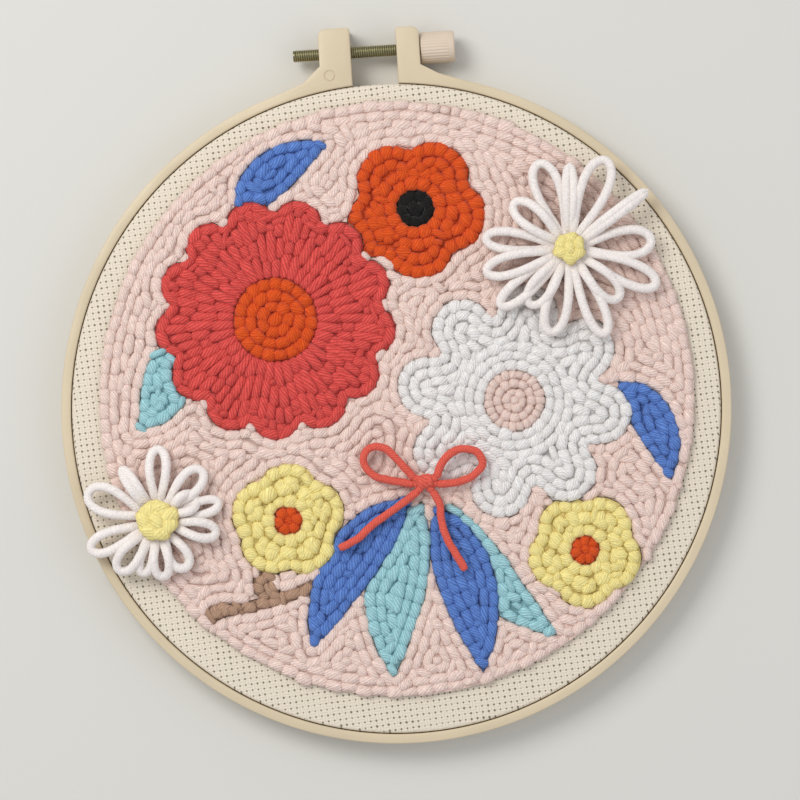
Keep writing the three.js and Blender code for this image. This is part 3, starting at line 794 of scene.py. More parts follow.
def travelled_length(line):
    return float(np.linalg.norm(np.diff(line, axis=0), axis=1).sum())


# A loose yarn swells and thins at this many places by this share, and draws in at its tips
PUFFS = 12
PUFF_SHARE = 0.03
TIP_GIRTH = 0.72


def wind_yarn(into, line, radius, settings, rng, groove_share=1.0, sides=12, plies=3):
    """Draws a tube of twisted yarn along a line: each ring is a section of plies that turns with it."""
    groove = groove_share * settings.groove
    forward = np.gradient(line, axis=0)
    forward /= np.linalg.norm(forward, axis=1)[:, None]
    across = np.cross(forward[0], [0, 0, 1.0])
    across /= np.linalg.norm(across)
    travelled = way_along(line)
    shares = np.arange(sides) / sides
    section = radius * (1 - groove * (0.5 + 0.5 * np.cos(2 * math.pi * plies * shares)))
    marks = np.linspace(0, travelled[-1], PUFFS)
    puff = 1 + PUFF_SHARE * np.interp(travelled, marks, rng.normal(0, 1, PUFFS))
    start = rng.uniform(0, 2 * math.pi)
    rings = []
    for i, middle in enumerate(line):
        across = across - forward[i] * across.dot(forward[i])
        across /= np.linalg.norm(across)
        other = np.cross(forward[i], across)
        angles = start + 2 * math.pi * (shares + travelled[i] / settings.lay)
        girth = section * puff[i] * (TIP_GIRTH if i in (0, len(line) - 1) else 1.0)
        rings.append(middle + np.outer(girth * np.cos(angles), across)
                     + np.outer(girth * np.sin(angles), other))
    places = np.concatenate(rings)
    faces, corners = [], []
    for i in range(len(line) - 1):
        for k in range(sides):
            n = (k + 1) % sides
            faces.append([i * sides + k, i * sides + n, (i + 1) * sides + n, (i + 1) * sides + k])
            low, high = travelled[i], travelled[i + 1]
            corners += [(low, k / sides), (low, (k + 1) / sides), (high, (k + 1) / sides),
                        (high, k / sides)]
    last = (len(line) - 1) * sides
    faces.append(list(range(sides))[::-1])
    corners += [(0.0, k / sides) for k in range(sides)][::-1]
    faces.append([last + k for k in range(sides)])
    corners += [(travelled[-1], k / sides) for k in range(sides)]
    tone = np.full(len(places), rng.uniform(-1, 1))
    into.add(places, faces, np.array(corners), tone, np.ones(len(places)))


# The field that a patch of stitches fills

# The fewest corners of a line that stitches can follow
FEWEST_CORNERS = 5


def lines_through(links, places):
    """The lines that linked corners make, from each corner's neighbours and its place."""
    lines = []
    left = dict.fromkeys(links)
    while left:
        first = next(iter(left))
        line = [first]
        while line[-1] in left:
            del left[line[-1]]
            line += [corner for corner in links[line[-1]] if corner in left][:1]
        if first in links[line[-1]]:
            line.append(first)
        if len(line) >= FEWEST_CORNERS:
            lines.append(np.array([places[i] for i in line]))
    return lines


class Field:
    """One patch: its bed and outline, cut through its CAD solid, and depths inside the outline."""

    bed_share = 0.42
    cell = 0.0008
    points_at_once = 2000

    def __init__(self, node):
        low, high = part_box(node)
        self.floor, self.top = low.z, high.z
        self.bed_top = low.z + self.bed_share * (high.z - low.z)
        self.bed = copy_of(node, f"{node}_bed")
        work_on(self.bed)
        choose_all()
        bpy.ops.mesh.bisect(plane_co=(0, 0, self.bed_top), plane_no=(0, 0, 1), use_fill=True,
                            clear_outer=True)
        close_mesh()
        self.segments = self.outline()
        x, y = (np.arange(a - self.cell, b + 2 * self.cell, self.cell) for a, b in zip(low.xy, high.xy))
        self.columns, self.rows = len(x), len(y)
        self.grid = np.stack(np.meshgrid(x, y), -1).reshape(-1, 2)
        self.depths = self.depth(self.grid)

    def outline(self):
        """The edges round the flat top of the bed."""
        mesh = bmesh.new()
        mesh.from_mesh(self.bed.data)
        segments = []
        for edge in mesh.edges:
            if any(abs(v.co.z - self.bed_top) > NEAR for v in edge.verts):
                continue
            flat = [all(abs(v.co.z - self.bed_top) < NEAR for v in f.verts) for f in edge.link_faces]
            if sum(flat) == 1:
                segments.append([v.co[:2] for v in edge.verts])
        mesh.free()
        return np.array(segments)

    def depth(self, points):
        """How far each point lies within the outline, below nought outside."""
        start, end = self.segments[:, 0], self.segments[:, 1]
        run = end - start
        reach = np.maximum((run ** 2).sum(1), 1e-18)
        slope = np.where(np.abs(run[:, 1]) < 1e-12, 1e-12, run[:, 1])
        distances = np.empty(len(points))
        within = np.empty(len(points), bool)
        for low in range(0, len(points), self.points_at_once):
            span = slice(low, low + self.points_at_once)
            part = points[span]
            offset = part[:, None, :] - start[None]
            share = np.clip((offset * run[None]).sum(2) / reach, 0, 1)
            distances[span] = np.linalg.norm(offset - share[..., None] * run[None], axis=2).min(1)
            above = (start[None, :, 1] > part[:, 1:]) != (end[None, :, 1] > part[:, 1:])
            rise = part[:, 1:] - start[None, :, 1]
            cross = start[None, :, 0] + rise * run[None, :, 0] / slope[None]
            within[span] = (above & (part[:, :1] < cross)).sum(1) % 2 == 1
        return np.where(within, distances, -distances)

    def rows_within(self, width):
        """Lines a row apart: a sheet that rises with the depth is sliced level by level."""
        sheet = bmesh.new()
        corners = [sheet.verts.new((x, y, z)) for (x, y), z in zip(self.grid, self.depths)]
        for row in range(self.rows - 1):
            for i in range(row * self.columns, (row + 1) * self.columns - 1):
                around = (i, i + 1, i + 1 + self.columns, i + self.columns)
                if any(self.depths[k] > 0 for k in around):
                    sheet.faces.new([corners[k] for k in around])
        for level in np.arange(width / 2, self.depths.max(), width):
            cut = bmesh.ops.bisect_plane(
                sheet, geom=[*sheet.verts, *sheet.edges, *sheet.faces], plane_co=(0, 0, level),
                plane_no=(0, 0, 1))
            links, places = {}, {}
            for edge in cut["geom_cut"]:
                if isinstance(edge, bmesh.types.BMEdge):
                    a, b = edge.verts
                    links.setdefault(a, []).append(b)
                    links.setdefault(b, []).append(a)
                    places[a], places[b] = tuple(a.co[:2]), tuple(b.co[:2])
            yield level, lines_through(links, places)
        sheet.free()


def steps_along(line, length):
    """Middles, headings and lengths of the stitches that fill a line from end to end."""
    count = max(1, round(travelled_length(line) / length))
    marks = evenly(line, travelled_length(line) / (4 * count))
    ends = marks[np.linspace(0, len(marks) - 1, count + 1).round().astype(int)]
    for start, end in zip(ends, ends[1:]):
        run = end - start
        yield (start + end) / 2, math.atan2(run[1], run[0]), float(np.linalg.norm(run))


def axis_distance(points, middle, heading, reach, width):
    """How far each point lies from the middle line of a stitch."""
    way = np.array([math.cos(heading), math.sin(heading)])
    offset = points - middle
    half = max(0.0, reach - width) / 2
    along = np.clip(offset @ way, -half, half)
    return np.linalg.norm(offset - along[:, None] * way, axis=1)


# A fan's bands wave this often round the flower and by this share of a stitch. Its stitches keep
# clear of the petals' rim, but not of the heart, in shares of a row.
FAN_MARKS = 16
BAND_WAVES = (9, 15)
BAND_SWING = 0.26
RIM_CLEARANCE = 0.92
HEART_REACH = 1.5
SHORTEST_STITCH = 0.3


def fan_stitches(field, centre, start, width, length, rng):
    """Long stitches that fan out from a flower's heart, in bands whose edges wave."""
    reach = np.linalg.norm(field.grid - centre, axis=1).max()
    edges = np.arange(start, reach + length, length)
    waves = [(rng.integers(*BAND_WAVES), rng.uniform(0, 2 * math.pi)) for _ in edges]
    for band in range(len(edges) - 1):
        count = round(math.pi * (edges[band] + edges[band + 1]) / width)
        turn = rng.uniform(0, 2 * math.pi)
        for angle in turn + np.arange(count) * 2 * math.pi / count:
            low, high = (
                edges[k] + BAND_SWING * length * math.sin(waves[k][0] * angle + waves[k][1]) * (k > 0)
                for k in (band, band + 1))
            way = np.array([math.cos(angle), math.sin(angle)])
            line = centre + np.linspace(low, high, FAN_MARKS)[:, None] * way
            by_heart = np.linalg.norm(line - centre, axis=1) < start + HEART_REACH * width
            line = line[field.depth(line) > np.where(by_heart, 0.0, RIM_CLEARANCE * width)]
            if len(line) > 1 and travelled_length(line) > SHORTEST_STITCH * length:
                yield (line[0] + line[-1]) / 2, angle, travelled_length(line), width


# A filling stitch, in shares of a row's width: the rim it leaves, the least room that it fills, how
# much it laps over its neighbours, its narrowest width and the ground that it settles
FILLING = {"rim": 0.1, "room": 0.2, "lap": 0.3, "narrowest": 0.5, "settled": 0.5}
# In shares of a stitch's length: how far it looks for its spot's direction, and how long it grows
FILLING_LOOK = 0.6
FILLING_LONGEST = 1.1


def filling_stitches(field, laid, width, length):
    """Stitches for the bare spots that the rows leave, each along its spot and as wide as its room."""
    inner = field.depths > FILLING["rim"] * width
    points, room = field.grid[inner], field.depths[inner]
    if not len(points):
        return
    for middle, heading, reach, wide in laid:
        room = np.minimum(room, axis_distance(points, middle, heading, reach, wide) - wide / 2)
    while room.max() > FILLING["room"] * width:
        spot = points[room.argmax()]
        most = room.max()
        away = np.linalg.norm(points - spot, axis=1)
        near = points[(away < FILLING_LOOK * length) & (room > most / 2)]
        spread = near - near.mean(0)
        way = np.linalg.svd(spread, full_matrices=False)[2][0] if len(near) > 2 else np.array([1.0, 0.0])
        run = (near - spot) @ way
        lap = FILLING["lap"] * width
        low, high = run.min() - lap, run.max() + lap
        wide = float(np.clip(2 * most + FILLING["room"] * width, FILLING["narrowest"] * width, width))
        middle = spot + way * (low + high) / 2
        reach = float(np.clip(high - low, wide, FILLING_LONGEST * length))
        heading = math.atan2(way[1], way[0])
        yield middle, heading, reach, wide
        room = np.minimum(room, axis_distance(points, middle, heading, reach, wide) - wide / 2)
        room[away < FILLING["settled"] * width] = 0.0


# How a row's stitches vary: their usual length, their length on the outline, their side step in the
# ground's outline and elsewhere as shares of a row, and their turn in radians
ROW_LENGTHS = (0.92, 1.08)
OUTLINE_LENGTH = 0.86
GROUND_EDGE_SWAY = 0.09
SWAY = 0.03
HEADING_SPREAD = 0.07
# A closed line shorter than this many stitches is left to the filling
SMALLEST_RING = 1.9


def stitches_of(patch, field, rng):
    """Every stitch of a patch: its middle, heading, length and width."""
    width, length = patch["width"], patch["length"]
    laid = []
    for level, lines in field.rows_within(width):
        if "fan" in patch:
            lines = [max(lines, key=travelled_length)] if level < width and lines else []
        for line in lines:
            start = rng.integers(0, len(line) - 1)
            if np.array_equal(line[0], line[-1]):
                if travelled_length(line) < SMALLEST_RING * length:
                    continue
                line = np.concatenate([line[start:-1], line[:start + 1]])
            step = length * rng.uniform(*ROW_LENGTHS) * (OUTLINE_LENGTH if level < width else 1.0)
            on_edge = level < width and patch["node"] == "ground"
            sway = width * (GROUND_EDGE_SWAY if on_edge else SWAY)
            for middle, heading, reach in steps_along(line, step):
                aside = np.array((-math.sin(heading), math.cos(heading)))
                middle = middle + rng.normal(0, sway) * aside
                laid.append((middle, heading + rng.normal(0, HEADING_SPREAD), reach, width))
    if "fan" in patch:
        low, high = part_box(patch["fan"])
        centre = np.array(((low + high) / 2).xy)
        laid.extend(fan_stitches(field, centre, (high.x - low.x) / 2, width, length, rng))
    laid.extend(filling_stitches(field, laid, width, length))
    if patch["node"] == "ground":
        for x, y, heading, reach in LOOSE_SPOT:
            laid.append((np.array((x, y)) + HOOP_CENTRE.xy, math.radians(heading), reach, width))
    return laid


# Operators

class NEEDLE_OT_camera(bpy.types.Operator):
    """Camera at the photograph's angle to the picture's face"""
    bl_idname = "needle.camera"
    bl_label = "Camera"

    # The photograph's square frame, and where the hoop's centre lies in it, in pixels
    frame_side = 800
    hoop_middle = (396.2, 408.1)
    # In millimetres, as a camera's sensor is given
    sensor = 36.0
    clip = (0.01, 10)

    def execute(self, context):
        studio = context.scene.needle_studio
        data = bpy.data.cameras.new("camera")
        camera = in_scene("camera", data)
        data.sensor_width = data.sensor_height = self.sensor
        data.sensor_fit = "HORIZONTAL"
        data.lens = data.sensor_width * studio.distance / studio.view_width
        data.clip_start, data.clip_end = self.clip
        back = Vector((math.tan(studio.lean_right), -math.tan(studio.lean_down), 1)).normalized()
        right = Vector((math.cos(studio.roll), -math.sin(studio.roll), 0))
        right = (right - back * right.dot(back)).normalized()
        up = back.cross(right)
        pixel = studio.view_width / self.frame_side
        aim = Vector((HOOP_CENTRE.x, HOOP_CENTRE.y, RING_HEIGHT))
        aim += right * (self.frame_side / 2 - self.hoop_middle[0]) * pixel
        aim += up * (self.hoop_middle[1] - self.frame_side / 2) * pixel
        place = aim + back * studio.distance
        turn = Matrix((right, up, back)).transposed().to_4x4()
        camera.matrix_world = Matrix.Translation(place) @ turn
        context.scene.camera = camera
        return {"FINISHED"}


class NEEDLE_OT_bow(bpy.types.Operator):
    """Coral yarn bow: two loops, two loose ends and the knot that holds them"""
    bl_idname = "needle.bow"
    bl_label = "Bow"

    # A loose end's least length, with the stretch that the knot holds. The cords are compared with it,
    # and none is changed.
    shortest_end = 0.03
    # Its yarn is a little thinner than in the CAD
    radius = 0.92 * YARN_RADIUS
    cord_step = 0.00055
    # The yarn wound round the knot: its turns, its first angle, its points and how far it keeps
    # within the CAD's knot, along it and across it, in radii of the yarn
    wrap_turns = 2.3
    wrap_start = 0.6
    wrap_points = 64
    wrap_inset = (1.9, 0.8)
    # A stub of each cord runs into the knot. It ends at this share of the way out from the knot's
    # middle, and laps over the cord by this share of its length.
    stub_reach = 0.25
    stub_lap = 0.12
    stub_step = 0.0005

    def execute(self, context):
        rng = np.random.default_rng(SEED)
        settings = context.scene.needle_yarn
        centre = np.array((HOOP_CENTRE.x, HOOP_CENTRE.y, 0.0))
        for cord in BOW_CORDS:
            line = smooth_route(np.array(cord["points"]) + centre, self.cord_step)
            tube = Yarn()
            wind_yarn(tube, line, self.radius, settings, rng)
            piece = tube.piece(cord["name"], "yarn_bow", [yarn("bow", "cord")])
            max(self.shortest_end, travelled_length(line))
        low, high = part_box("bow_knot")
        middle = np.array((low + high) / 2)
        half = np.array(high - low) / 2
        share = np.linspace(0, 1, self.wrap_points)
        angle = 2 * math.pi * self.wrap_turns * share + self.wrap_start
        along, across = (inset * YARN_RADIUS for inset in self.wrap_inset)
        wrap = np.stack([
            middle[0] + (share - 0.5) * (2 * half[0] - along),
            middle[1] + (half[1] - across) * np.cos(angle),
            middle[2] + (half[2] - across) * np.sin(angle),
        ], 1)
        tube = Yarn()
        wind_yarn(tube, wrap, self.radius, settings, rng)
        for cord in BOW_CORDS:
            ends = [np.array(cord["points"][k]) + centre for k in (0, -1)]
            for end in ends if cord["far_end"] == "object" else ends[:1]:
                inner = middle + (end - middle) * self.stub_reach
                lapped = end + (end - inner) * self.stub_lap
                stub = smooth_route(np.array([lapped, end, (end + inner) / 2, inner]), self.stub_step)
                wind_yarn(tube, stub, self.radius, settings, rng)
        tube.piece("bow_knot", "yarn_bow", [yarn("bow", "cord")])
        return {"FINISHED"}


class NEEDLE_OT_cloth(bpy.types.Operator):
    """Even-weave cloth, stretched over the inner ring and down between the rings"""
    bl_idname = "needle.cloth"
    bl_label = "Cloth"

    thickness = 0.001
    edge = 0.0011
    steps = 180

    def execute(self, context):
        low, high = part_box("cloth")
        outside = high.x
        inside = outside - self.thickness
        under = high.z - self.thickness
        outer_round = rounded((outside - self.edge, high.z - self.edge), self.edge, 0, 5)
        inner_edge = self.edge / 2
        inner_round = rounded((inside - inner_edge, under - inner_edge), inner_edge, 0, 3)
        profile = [(inside, low.z), (outside, low.z), *outer_round, (0, high.z), (0, under)]
        profile += inner_round[::-1]
        obj = spun("cloth_weave", profile, self.steps, HOOP_CENTRE)
        shade_smooth(obj)
        dressed(obj, "cloth_weave", "hoop", ["cloth"],
                [even_weave("even_weave_cotton", context.scene.needle_cloth)])
        return {"FINISHED"}


class NEEDLE_OT_rings(bpy.types.Operator):
    """Outer ring with its two lugs, and the inner ring"""
    bl_idname = "needle.rings"
    bl_label = "Rings"

    drill_length = 0.1

    def lug_side(self, lug):
        """One lug's outline, from the ring's bore up over its top and down to the ring's outside."""
        side, near = lug["side"], SPLIT_HALF
        far = near + lug["width"]
        slope_end, foot = far + LUG_WEB_RUN, far + LUG_WEB_FOOT
        centre = HOOP_CENTRE.y
        points = [(near, centre + math.sqrt(RING_INSIDE ** 2 - near ** 2))]
        small, top = LUG_CORNER / 3, LUG_TOP - lug["drop"]
        points += rounded((near + small, top - small), small, math.pi / 2, 4)[::-1]
        points += rounded((far - LUG_CORNER, top - LUG_CORNER), LUG_CORNER, 0, 5)[::-1]
        points.append((far, centre + HOOP_RADIUS + lug["web_rise"]))
        points.append((slope_end, centre + math.sqrt(HOOP_RADIUS ** 2 - slope_end ** 2) + LUG_WEB_TIP))
        points.append((foot, centre + math.sqrt(HOOP_RADIUS ** 2 - foot ** 2)))
        return [(side * x, y) for x, y in points]

    def arc(self, radius, from_x, to_x, steps):
        """Points round the ring's far side, from one side of the split to the other."""
        start = math.atan2(math.sqrt(radius ** 2 - from_x ** 2), from_x)
        end = math.atan2(math.sqrt(radius ** 2 - to_x ** 2), to_x)
        sweep = (end - start) % (2 * math.pi) if from_x < 0 else -((start - end) % (2 * math.pi))
        angles = np.linspace(start, start + sweep, steps)[1:-1]
        return [(radius * math.cos(a), HOOP_CENTRE.y + radius * math.sin(a)) for a in angles]

    def execute(self, context):
        hoop = context.scene.needle_hoop
        left, right = (self.lug_side(lug) for lug in LUGS)
        outline = left + self.arc(HOOP_RADIUS, left[-1][0], right[-1][0], hoop.ring_steps)
        outline += right[::-1] + self.arc(RING_INSIDE, right[0][0], left[0][0], hoop.ring_steps)
        obj = mesh_object("outer_ring_moulded", [(x, y, 0.0) for x, y in outline],
                          edges=loop_edges(len(outline)))
        work_on(obj)
        choose_all()
        bpy.ops.mesh.edge_face_add()
        bpy.ops.mesh.extrude_region_move(TRANSFORM_OT_translate={"value": (0, 0, RING_HEIGHT)})
        choose_all()
        bpy.ops.mesh.normals_make_consistent(inside=False)
        mesh = bmesh.from_edit_mesh(obj.data)
        bpy.ops.mesh.select_mode(type="EDGE")
        bpy.ops.mesh.select_all(action="DESELECT")
        for edge in mesh.edges:
            low, high = sorted(v.co.z for v in edge.verts)
            edge.select_set(high < NEAR or low > RING_HEIGHT - NEAR)
        bmesh.update_edit_mesh(obj.data)
        bpy.ops.mesh.bevel(offset=hoop.edge, segments=3, profile=0.5, affect="EDGES", clamp_overlap=True)
        bpy.ops.mesh.select_mode(type="VERT")
        close_mesh()
        self.bore(obj)
        shade_smooth(obj, degrees=35)
        ring_plastic = plastic("hoop_plastic", list(hoop.ring_colour))
        dressed(obj, "outer_ring_moulded", "hoop", ["outer_ring"], [ring_plastic])
        low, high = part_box("inner_ring")
        outside, edge = high.x, hoop.edge
        inside = outside - RING_WALL
        corners = ((outside - edge, high.z - edge), (inside + edge, high.z - edge),
                   (inside + edge, low.z + edge), (outside - edge, low.z + edge))
        profile = [point for k, corner in enumerate(corners)
                   for point in rounded(corner, edge, k * math.pi / 2)]
        inner = spun("inner_ring_moulded", profile, hoop.ring_steps, HOOP_CENTRE)
        shade_smooth(inner)
        dressed(inner, "inner_ring_moulded", "hoop", ["inner_ring"], [ring_plastic])
        return {"FINISHED"}

    def bore(self, obj):
        """Cuts the screw's bore through the lugs and the round mark left by the mould's ejector."""
        deselect()
        bpy.ops.mesh.primitive_cylinder_add(
            vertices=32, radius=BORE_RADIUS, depth=self.drill_length, rotation=(0, math.pi / 2, 0),
            location=(0, SCREW_AXIS.y, SCREW_AXIS.z))
        cut_away(obj)
        deselect()
        mark_y = HOOP_CENTRE.y + HOOP_RADIUS + EJECTOR_MARK["rise"]
        bpy.ops.mesh.primitive_torus_add(
            location=(EJECTOR_MARK["x"], mark_y, RING_HEIGHT), major_segments=40, minor_segments=10,
            major_radius=EJECTOR_MARK["radius"], minor_radius=EJECTOR_MARK["groove"] / 2)
        cut_away(obj)


class NEEDLE_OT_clamp(bpy.types.Operator):
    """Threaded clamp screw and its finely ridged knob"""
    bl_idname = "needle.clamp"
    bl_label = "Clamp screw"

    steps = 20
    # The thread over one pitch: each point's place along it and whether it is on the crest
    thread = ((0.0, False), (0.28, False), (0.42, True), (0.58, True), (0.72, False), (1.0, False))
    # The plain ends of the screw: their rounding, how far they stand over the thread's root and how
    # far they lap into it, as a share of the pitch
    end_edge = 0.0002
    end_rise = 0.00004
    end_lap = 0.4
    # Each ring of the knob: its place along, its radius and its grooves' depth, as shares
    knob_rings = (
        (0.0, 0.93, 1.0), (0.025, 0.985, 1.0), (0.05, 1.0, 0.95), (0.80, 1.0, 0.95),
        (0.84, 1.0, 0.995), (0.86, 0.99, 1.0), (0.95, 0.99, 1.0), (0.985, 0.965, 1.0),
        (1.0, 0.92, 1.0), (1.0, 0.70, 1.0), (0.96, 0.66, 1.0), (0.96, 0.3, 1.0))
    ridge_sides = 4
    same_way = 1e-3

    def execute(self, context):
        hoop = context.scene.needle_hoop
        self.screw(hoop)
        self.knob(hoop)
        return {"FINISHED"}

    def screw(self, hoop):
        """A thread's profile, turned along the screw by the Screw modifier and closed at its ends."""
        low, high, crest, root = SCREW_LOW, SCREW_HIGH, THREAD_CREST, THREAD_ROOT
        pitch = hoop.thread_pitch
        turns = int((high.x - low.x) / pitch) - 1
        start = low.x + self.end_edge
        points = [(start + share * pitch, SCREW_AXIS.y, SCREW_AXIS.z + (crest if proud else root))
                  for share, proud in self.thread]
        obj = mesh_object("screw_threaded", points,
                          edges=[(i, i + 1) for i in range(len(points) - 1)])
        hub = in_scene("screw_hub", None)
        hub.location = (0, SCREW_AXIS.y, SCREW_AXIS.z)
        bpy.context.view_layer.update()
        applied(obj, "SCREW", axis="X", object=hub, angle=2 * math.pi, screw_offset=pitch,
                iterations=turns, steps=self.steps, render_steps=self.steps, use_merge_vertices=True,
                merge_threshold=NEAR)
        bpy.data.objects.remove(hub)
        work_on(obj)
        choose_all()
        bpy.ops.mesh.remove_doubles(threshold=NEAR)
        bpy.ops.mesh.fill_holes(sides=0)
        close_facing_out()
        tip = self.plug(low.x, start + (1 + self.end_lap) * pitch, root + self.end_rise)
        tail_start = start + turns * pitch
        tail = self.plug(tail_start - self.end_lap * pitch, high.x, root + self.end_rise)
        obj = joined("screw_threaded", [obj, tip, tail])
        shade_smooth(obj, degrees=30)
        dressed(obj, "screw_threaded", "clamp_screw", ["screw"],
                [thread_shaded_steel("screw_steel", list(hoop.screw_colour))])

    def plug(self, from_x, to_x, radius):
        """A plain end of the screw, with its edges broken."""
        deselect()
        bpy.ops.mesh.primitive_cylinder_add(
            vertices=self.steps, radius=radius, depth=to_x - from_x, rotation=(0, math.pi / 2, 0),
            location=((from_x + to_x) / 2, SCREW_AXIS.y, SCREW_AXIS.z))
        obj = settled()
        work_on(obj)
        choose_all()
        bpy.ops.mesh.bevel(offset=self.end_edge, segments=2, affect="EDGES")
        close_mesh()
        return obj

    def knob(self, hoop):
        """A ring of fine ridges, drawn out along the screw, with a smooth rim at its outer end."""
        low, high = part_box("knob")
        radius = (high.z - low.z) / 2
        centre = Vector((low.x, SCREW_AXIS.y, SCREW_AXIS.z))
        deselect()
        bpy.ops.mesh.primitive_circle_add(
            vertices=hoop.knob_ridges * self.ridge_sides, radius=radius * self.knob_rings[0][1],
            fill_type="NOTHING", location=centre, rotation=(0, math.pi / 2, 0))
        obj = settled()
        groove_ways = [(v.co - centre).normalized() for i, v in enumerate(obj.data.vertices)
                       if i % self.ridge_sides == 0]

        def in_groove(place):
            way = Vector((0, place.y - centre.y, place.z - centre.z)).normalized()
            return min((way - groove).length for groove in groove_ways) < self.same_way

        work_on(obj)
        choose_all()
        length = high.x - low.x
        for past, ring in zip(self.knob_rings, self.knob_rings[1:]):
            bpy.ops.mesh.extrude_region_move(
                TRANSFORM_OT_translate={"value": ((ring[0] - past[0]) * length, 0, 0)})
            here = centre + Vector((ring[0] * length, 0, 0))
            change = ring[1] / past[1]
            bpy.ops.transform.resize(value=(1, change, change), center_override=here)
            chosen = {tuple(v.co) for v in bmesh.from_edit_mesh(obj.data).verts if v.select}
            deepen = ring[2] / past[2]
            if abs(deepen - 1) > NEAR:
                choose(lambda place: tuple(place) in chosen and in_groove(place))
                bpy.ops.transform.resize(value=(1, deepen, deepen), center_override=here)
                reach = here.x
                choose(lambda place: abs(place.x - reach) < NEAR)
        bpy.ops.mesh.edge_face_add()
        choose(lambda place: abs(place.x - centre.x) < NEAR)
        bpy.ops.mesh.edge_face_add()
        choose_all()
        close_facing_out()
        shade_smooth(obj, degrees=50)
        dressed(obj, "knob_ridged", "clamp_screw", ["knob"],
                [plastic("knob_plastic", list(hoop.knob_colour))])


class NEEDLE_OT_stitches(bpy.types.Operator):
    """Every patch of punched stitches, and the loops that the needle leaves behind the cloth"""
    bl_idname = "needle.stitches"
    bl_label = "Stitches"

    # In shares of the pile: how far a stitch's foot lies under the patch's floor, its height and the
    # most by which a tall one passes that
    sink = 0.06
    rise = 1.06
    tallest = 1.08
    # How much a stitch's foot wavers, and what its length gains for its tapered ends
    waver = 0.00008
    ends = 0.0002
    # The loops behind the cloth: the share of stitches with a loop that shows, its length and width,
    # how far it may lie over the CAD's lowest place and its height as a share of the CAD's
    loop_share = 0.62
    loop_size = (0.0046, 0.0030)
    loop_shift = 0.0008
    loop_heights = (0.85, 1.0)
    # The bed's marks: an even tone, and a depth at which part of the painted shade shows on it
    bed_marks = {"tone": 0.0, "depth": 0.3}

    def execute(self, context):
        settings = context.scene.needle_yarn
        mould = StitchMould()
        colours = sorted({patch["yarn"] for patch in PATCHES})
        behind = Yarn()
        back_low, back_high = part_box("back_loops")
        tall = back_high.z - back_low.z
        for number, patch in enumerate(PATCHES):
            rng = np.random.default_rng(SEED + number)
            field = Field(patch["node"])
            tufts = Yarn()
            pile = field.top - field.floor
            for middle, heading, length, width in stitches_of(patch, field, rng):
                uneven = 1 + settings.unevenness * rng.normal(0, 1, 2)
                mould.lay(
                    tufts, *middle, field.floor - self.sink * pile + rng.normal(0, self.waver),
                    heading, length * settings.overlap + self.ends,
                    width * settings.plumpness * uneven[0],
                    pile * self.rise * min(self.tallest, uneven[1]), rng)
                if rng.uniform() < self.loop_share:
                    mould.lay(
                        behind, *middle, back_low.z + rng.uniform(0, self.loop_shift),
                        rng.uniform(0, math.pi), *self.loop_size,
                        tall * rng.uniform(*self.loop_heights), rng, colours.index(patch["yarn"]))
            stitches = tufts.made(patch["node"], [yarn(patch["yarn"])])
            obj = self.with_bed(stitches, field, patch)
            dressed(obj, f"{patch['node']}_stitches", "hoop", [patch["node"]])
        behind.piece("back_loops", "yarn_pink", [yarn(colour) for colour in colours])
        return {"FINISHED"}

    def with_bed(self, stitches, field, patch):
        """Joins the stitches to the low bed of yarn that shows between them, coloured part way into
        painted shade.
        """
        mesh = field.bed.data
        if "yarn" not in mesh.uv_layers:
            mesh.uv_layers.new(name="yarn")
        for key, value in self.bed_marks.items():
            mark = mesh.attributes.new(key, "FLOAT", "POINT")
            mark.data.foreach_set("value", [value] * len(mesh.vertices))
        mesh.materials.append(yarn(patch["yarn"]))
        return joined(patch["node"], [stitches, field.bed])


